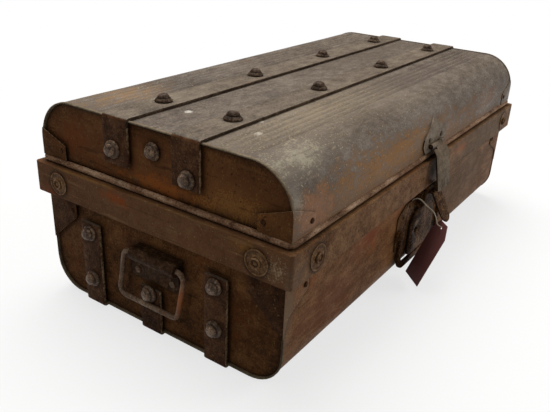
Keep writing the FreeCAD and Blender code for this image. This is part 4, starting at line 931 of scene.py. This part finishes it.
# nodes, kind, finish and seed, and the radius and height of a small head
headRows = {
    "topStuds": (["strap_studs_front", "strap_studs_rear"], "studs", "StudTop", 3),
    "lidEndStuds": (["lid_end_studs_left", "lid_end_studs_right"], "studs", "StudEnd", 5),
    "runnerStuds": (["runner_studs_left", "runner_studs_right"], "studs", "StudEnd", 9),
    "collarRosettes": (["collar_rosettes"], "rosettes", "RosettePaint", 11, 0.0180, 0.0011),
    "collarRings": (["collar_rivets"], "rings", "RosettePaint", 12, 0.008, 0.003),
    "gussetRivets": (["gusset_rivets"], "rivets", "StrapEnd", 13, 0.0042, 0.0024),
    "patchRivets": (["patch_rivets"], "rivets", "StrapEnd", 14, 0.0040, 0.0024),
    "handleRivets": (["handle_rivets"], "rivets", "HandleIron", 15, 0.0055, 0.0024),
    "shieldRivets": (["hasp_plate_rivets"], "rivets", "HaspIron", 16, 0.0044, 0.002),
    "lockRivets": (["lock_rivets"], "rivets", "LockIron", 17, 0.0036, 0.0018),
    "loopBosses": (["lock_loop_bosses"], "rivets", "LockIron", 18, 0.008, 0.0055),
    "hingeBaseRivets": (["hinge_base_rivets"], "rivets", "LockIron", 19, 0.004, 0.0024),
    "hingeLidRivets": (["hinge_lid_rivets"], "rivets", "LockIron", 20, 0.004, 0.0024),
}
headTrees = {kind: headTree(kind, heads["shapes"], heads["sizes"]) for kind, heads in headKinds.items()}
for name, (nodes, kind, finishName, seed, *own) in headRows.items():
    values = dict(headKinds[kind]["sizes"], Seed=seed, Material=finish[finishName])
    values.update(zip(("Head Radius", "Head Height"), own))
    finishPiece(grown(name, sitesOf(nodes), headTrees[kind], values), nodes)
print("studs, rivets and rosettes ready")


# Fluted lid and plain base, each one wrapped sheet

sheetSizes = {
    "Length": 0.83, "Corner Radius": 0.062, "Flute Depth": 0.0, "Flute Start": 0.0975,
    "Flute Width": 0.0119, "Flute Count": 5, "Dent Depth": 0.0007, "Rim Radius": 0.0029,
    "Rim Turn": 3.3, "Rows": 72, "Columns": 320, "Seed": 4,
}
sheetTrim = {
    "thickness": 0.0012, "flatRows": 0.8, "fluteFade": (0.004, 0.045), "dentFade": (0.002, 0.03),
    "dentScale": 11.0, "fluteShadeEnd": 0.408, "fluteShadeFade": 0.04,
}


def sheetTree():
    # rounds the corners of a section, sweeps it along X, presses the flutes and rolls the rims
    net, given = newTree("wrappedSheet", sheetSizes)
    section = net.first("GeometryNodeFilletCurve", {
        "Curve": given["Geometry"], "Radius": given["Corner Radius"], "Count": 14,
    }, mode="POLY")
    grid, spotX, spotY = net.grid(given["Rows"], given["Columns"])
    # the outer fifth of the rows curls inwards round a wire
    flatRows, rim = sheetTrim["flatRows"], given["Rim Radius"]
    reach = net.times(net.absolute(spotX), 2.0)
    flat = net.math("MINIMUM", net.math("DIVIDE", reach, flatRows), 1.0)
    curl = net.math("DIVIDE", net.take(reach, flatRows), 1.0 - flatRows)
    curl = net.times(net.math("MAXIMUM", curl, 0.0), given["Rim Turn"])
    flat = net.math("SINE", net.times(flat, math.pi / 2.0))
    edge = net.take(net.times(given["Length"], 0.5), rim)
    along = net.timesPlus(net.math("SINE", curl), rim, net.times(flat, edge))
    along = net.times(along, net.math("SIGN", spotX))
    inset = net.times(net.take(1.0, net.math("COSINE", curl)), rim)
    toRim = net.take(edge, net.absolute(along))
    sample = net.put(
        "GeometryNodeSampleCurve", {"Curves": section, "Factor": net.add(spotY, 0.5)}, mode="FACTOR",
    ).outputs
    profile = net.split(sample["Position"])
    flute = net.take(net.absolute(profile[1]), given["Flute Start"])
    flute = net.math("DIVIDE", flute, given["Flute Width"])
    wave = net.math("COSINE", net.times(flute, 2.0 * math.pi))
    wave = net.times(net.take(1.0, wave), 0.5)
    within = net.times(
        net.math("GREATER_THAN", flute, 0.0), net.math("LESS_THAN", flute, given["Flute Count"]),
    )
    clear = net.remap(toRim, *sheetTrim["fluteFade"])
    press = net.times(net.times(wave, within), given["Flute Depth"], clear)
    place = net.join(along, profile[1], net.take(profile[2], press))
    swept = net.first("GeometryNodeSetPosition", {"Geometry": grid, "Position": place})
    # the section's own direction gives the way inwards at every point
    ahead = net.split(sample["Tangent"])
    inward = net.join(y=ahead[2], z=net.times(ahead[1], -1.0))
    where = net.first("GeometryNodeInputPosition")
    shifted = net.vector("ADD", where, net.join(z=given["Seed"]))
    feeds = {"Vector": shifted, "Scale": sheetTrim["dentScale"], "Detail": 2.0}
    waves = net.first("ShaderNodeTexNoise", feeds)
    sunk = net.times(waves, given["Dent Depth"], net.remap(toRim, *sheetTrim["dentFade"]))
    feeds = {0: inward, "Scale": net.add(sunk, inset)}
    offset = net.first("ShaderNodeVectorMath", feeds, operation="SCALE")
    dented = net.first("GeometryNodeSetPosition", {"Geometry": swept, "Offset": offset})
    return closeTree(net, given, dented)


def curveOf(name, points, kind="POLY", closed=False):
    curve = bpy.data.curves.new(name, "CURVE")
    curve.dimensions = "3D"
    spline = curve.splines.new(kind)
    spline.points.add(len(points) - 1)
    for point, place in zip(spline.points, points):
        point.co = (*place, 1.0)
    spline.use_cyclic_u = closed
    return curve


def thickened(piece):
    # gives a grown sheet its inner face and edges
    piece.data.materials.append(finish["InsidePaint"])
    modifier = piece.modifiers.new("thickness", "SOLIDIFY")
    modifier.thickness = sheetTrim["thickness"]
    modifier.offset = -1.0
    modifier.material_offset = 1
    piece.data = evaluatedMesh(piece)
    return piece.data


def shadeFlutes(mesh, outer, strength):
    # painted shade down the middle of every flute, none near the ends of the lid
    soilAndShade = mesh.attributes["soilAndShade"].data
    for vert in mesh.vertices[:outer]:
        step = (abs(vert.co.y) - sheetSizes["Flute Start"]) / sheetSizes["Flute Width"]
        if 0 < step < sheetSizes["Flute Count"]:
            fade = (sheetTrim["fluteShadeEnd"] - abs(vert.co.x)) / sheetTrim["fluteShadeFade"]
            wave = 0.5 - 0.5 * math.cos(2 * math.pi * step)
            soilAndShade[vert.index].value += strength * min(1.0, max(0.0, fade)) * wave ** 2


wrapped = {
    "lidSheet": {
        "node": "lid_shell", "finish": "LidPaint", "reach": 0.0034, "soilAndShade": 0.6, "fluteShade": 0.28,
        "near": ["lid_strap", "lid_patch", "hasp_plate"],
        "section": [(-0.22, 0.2215), (-0.22, 0.311), (0.22, 0.311), (0.22, 0.2215)],
        "values": {"Flute Depth": 0.0020},
    },
    "baseSheet": {
        "node": "base_shell", "finish": "FrontPaint", "reach": 0.010, "soilAndShade": 0.85, "fluteShade": 0.0,
        "near": ["base_gusset", "base_collar", "lock_plate", "lock_loop", "runner_"],
        "section": [(0.215, 0.2134), (0.215, 0.005), (-0.215, 0.005), (-0.215, 0.2134)],
        "values": {"Corner Radius": 0.05, "Columns": 110, "Seed": 8, "Dent Depth": 0.0012},
    },
}
sheets = sheetTree()
for name, sheet in wrapped.items():
    section = curveOf("section", [(0.0, y, z) for y, z in sheet["section"]])
    values = dict(sheetSizes, Material=finish[sheet["finish"]])
    values.update(sheet["values"])
    piece = grown(name, section, sheets, values)
    mesh = thickened(piece)
    outer = len(mesh.vertices) // 2       # Solidify puts the inner face's points after the outer ones
    # dirt and painted shade on the outer face next to the parts that stand on it
    near = nodesNamed(sheet["near"])
    gatherSoilAndShade(mesh, near, sheet["reach"], sheet["soilAndShade"], lambda vert: vert.index < outer)
    if sheet["fluteShade"]:
        shadeFlutes(mesh, outer, sheet["fluteShade"])
    finishPiece(piece, [sheet["node"]])
print("wrapped sheets ready")


# Bead and bails: round bar along a path

barSizes = {"Corner Radius": 0.01, "Bar Radius": 0.004, "Sides": 16, "Lumps": 0.08, "Step": 0.003}
lumpScale = 55.0
bail = {
    "reach": 0.4248, "middle": -0.007, "height": 0.125, "width": 0.113, "drop": 0.0765, "skew": 0.015,
    "finish": "HandleIron",
    "sizes": {"Corner Radius": 0.0113, "Bar Radius": 0.0040, "Sides": 18, "Lumps": 0.12, "Step": 0.0025},
}
bead = {
    "halfLength": 0.4143, "halfWidth": 0.2193, "height": 0.2185, "finish": "BeadPaint",
    "sizes": {"Corner Radius": 0.004, "Bar Radius": 0.0047, "Sides": 16, "Lumps": 0.10, "Step": 0.005},
}


def barTree():
    net, given = newTree("roundBar", barSizes)
    path = net.first("GeometryNodeFilletCurve", {
        "Curve": given["Geometry"], "Radius": given["Corner Radius"], "Count": 8, "Limit Radius": True,
    }, mode="POLY")
    feeds = {"Curve": path, "Length": given["Step"]}
    path = net.first("GeometryNodeResampleCurve", feeds, mode="LENGTH")
    feeds = {"Vector": net.first("GeometryNodeInputPosition"), "Scale": lumpScale, "Detail": 2.0}
    lumps = net.times(net.take(net.first("ShaderNodeTexNoise", feeds), 1.0), given["Lumps"])
    radius = net.times(net.add(1.0, lumps), given["Bar Radius"])
    ring = net.first("GeometryNodeCurvePrimitiveCircle", {"Resolution": given["Sides"], "Radius": 1.0})
    feeds = {"Curve": path, "Profile Curve": ring, "Scale": radius, "Fill Caps": True}
    return closeTree(net, given, net.first("GeometryNodeCurveToMesh", feeds))


bar = barTree()


def addBar(name, path, size, node):
    values = dict(size["sizes"], Material=finish[size["finish"]])
    finishPiece(grown(name, curveOf("path", path, closed=True), bar, values), [node])


def bailPath(side):
    high, low = bail["height"], bail["height"] - bail["drop"]
    x = side * bail["reach"]
    rear, front = (bail["middle"] + share * bail["width"] / 2.0 for share in (1, -1))
    return [(x, front, high), (x, front + bail["skew"], low), (x, rear + bail["skew"], low), (x, rear, high)]


for name, side in (("left", -1), ("right", 1)):
    addBar("bail_" + name, bailPath(side), bail, "handle_bail_" + name)
corners = ((-1, -1), (1, -1), (1, 1), (-1, 1))
beadPath = [(x * bead["halfLength"], y * bead["halfWidth"], bead["height"]) for x, y in corners]
addBar("bead", beadPath, bead, "lid_bead")
print("bead and bails ready")


# Handle plates, hasp, lock and hinges

# eased edge and finish
ironwork = {
    "handle_plate_left": (0.0009, "HandlePlate"), "handle_plate_right": (0.0009, "HandlePlate"),
    "lock_plate": (0.0007, "LockIron"), "lock_box": (0.0016, "LockIron"), "lock_lip": (0.0007, "LockIron"),
    "lock_case": (0.0015, "LockIron"), "lock_loop": (0.0017, "LockIron"),
    "hasp_plate": (0.0006, "ShieldPaint"), "hasp_leaf": (0.0008, "HaspIron"),
    "hinge_base_leaf_left": (0.0005, "LockIron"), "hinge_base_leaf_right": (0.0005, "LockIron"),
    "hinge_lid_leaf_left": (0.0005, "LockIron"), "hinge_lid_leaf_right": (0.0005, "LockIron"),
}
# these pieces' faces that look along X get the near-black side finish, painted shade
shadeSided = ("hasp_leaf", "hasp_plate", "lock_lip", "lock_case")
lockCase = {"face": -0.221, "slack": 0.0003, "swell": 0.0024, "reach": 0.016, "mesh": (0.004, 0, 0.004)}
ironAngle = 40.0      # thick iron is shaded smooth up to here
quarterTurn = 1.57


def rimOf(node):
    # both ends of every sharp edge of a solid
    spare, work = mergedCopy(node)
    sharp = [edge for edge in work.edges if edge.calc_face_angle(0.0) > 1.0]
    ends = [[vert.co.copy() for vert in edge.verts] for edge in sharp]
    work.free()
    bpy.data.meshes.remove(spare)
    return ends


def awayFrom(point, ends):
    foot, share = geometry.intersect_point_line(point, *ends)
    if 0 <= share <= 1:
        return (foot - point).length
    return min((end - point).length for end in ends)


def swellCase(work):
    # the case's face bulges away from its rim
    for vert in work.verts:
        if vert.co.y < lockCase["face"] + lockCase["slack"]:
            away = min(awayFrom(vert.co, ends) for ends in lockRim)
            share = min(1.0, away / lockCase["reach"])
            vert.co.y -= lockCase["swell"] * math.sin(share * quarterTurn)


lockRim = rimOf("lock_case")
for node, (width, kind) in ironwork.items():
    facings = {"top": kind, "end": "StrapSideShade", "front": kind} if node in shadeSided else kind
    swell = (lockCase["mesh"], swellCase) if node == "lock_case" else ()
    wornCopy(node, width, 3, facings, *swell, angle=ironAngle)
for node in ("hasp_pin", "hasp_staple", "hinge_pin_left", "hinge_pin_right"):
    finishSolid(node, "LockIron")
print("ironwork ready")


# Swing tag and its string

string = {
    "radius": 0.001, "points": [
        (-0.0450, -0.2163, -0.0663), (-0.0460, -0.2205, -0.0615), (-0.0430, -0.2265, -0.0605),
        (-0.0385, -0.2315, -0.0650), (-0.0350, -0.2360, -0.0715), (-0.0315, -0.2415, -0.0770),
        (-0.0300, -0.2480, -0.0810), (-0.0302, -0.2535, -0.0865), (-0.0310, -0.2570, -0.0940),
        (-0.0300, -0.2585, -0.1015), (-0.0257, -0.2615, -0.1066), (-0.0195, -0.2674, -0.1102),
    ],
}


def addString():
    # its points are given from the parting line down
    points = [(x, y, z + parting) for x, y, z in string["points"]]
    curve = curveOf("tagString", points, "NURBS")
    spline = curve.splines[0]
    spline.order_u = 3
    spline.use_endpoint_u = True
    spline.resolution_u = 8
    curve.bevel_depth = string["radius"]
    curve.bevel_resolution = 3
    curve.use_fill_caps = True
    curve.materials.append(finish["Twine"])
    piece = linked("tagString", curve)
    finishPiece(piece, ["tag_string"])


addString()
finishSolid("swing_tag", "TagCard")
finishSolid("string_knot", "Twine")
print("tag and string ready")
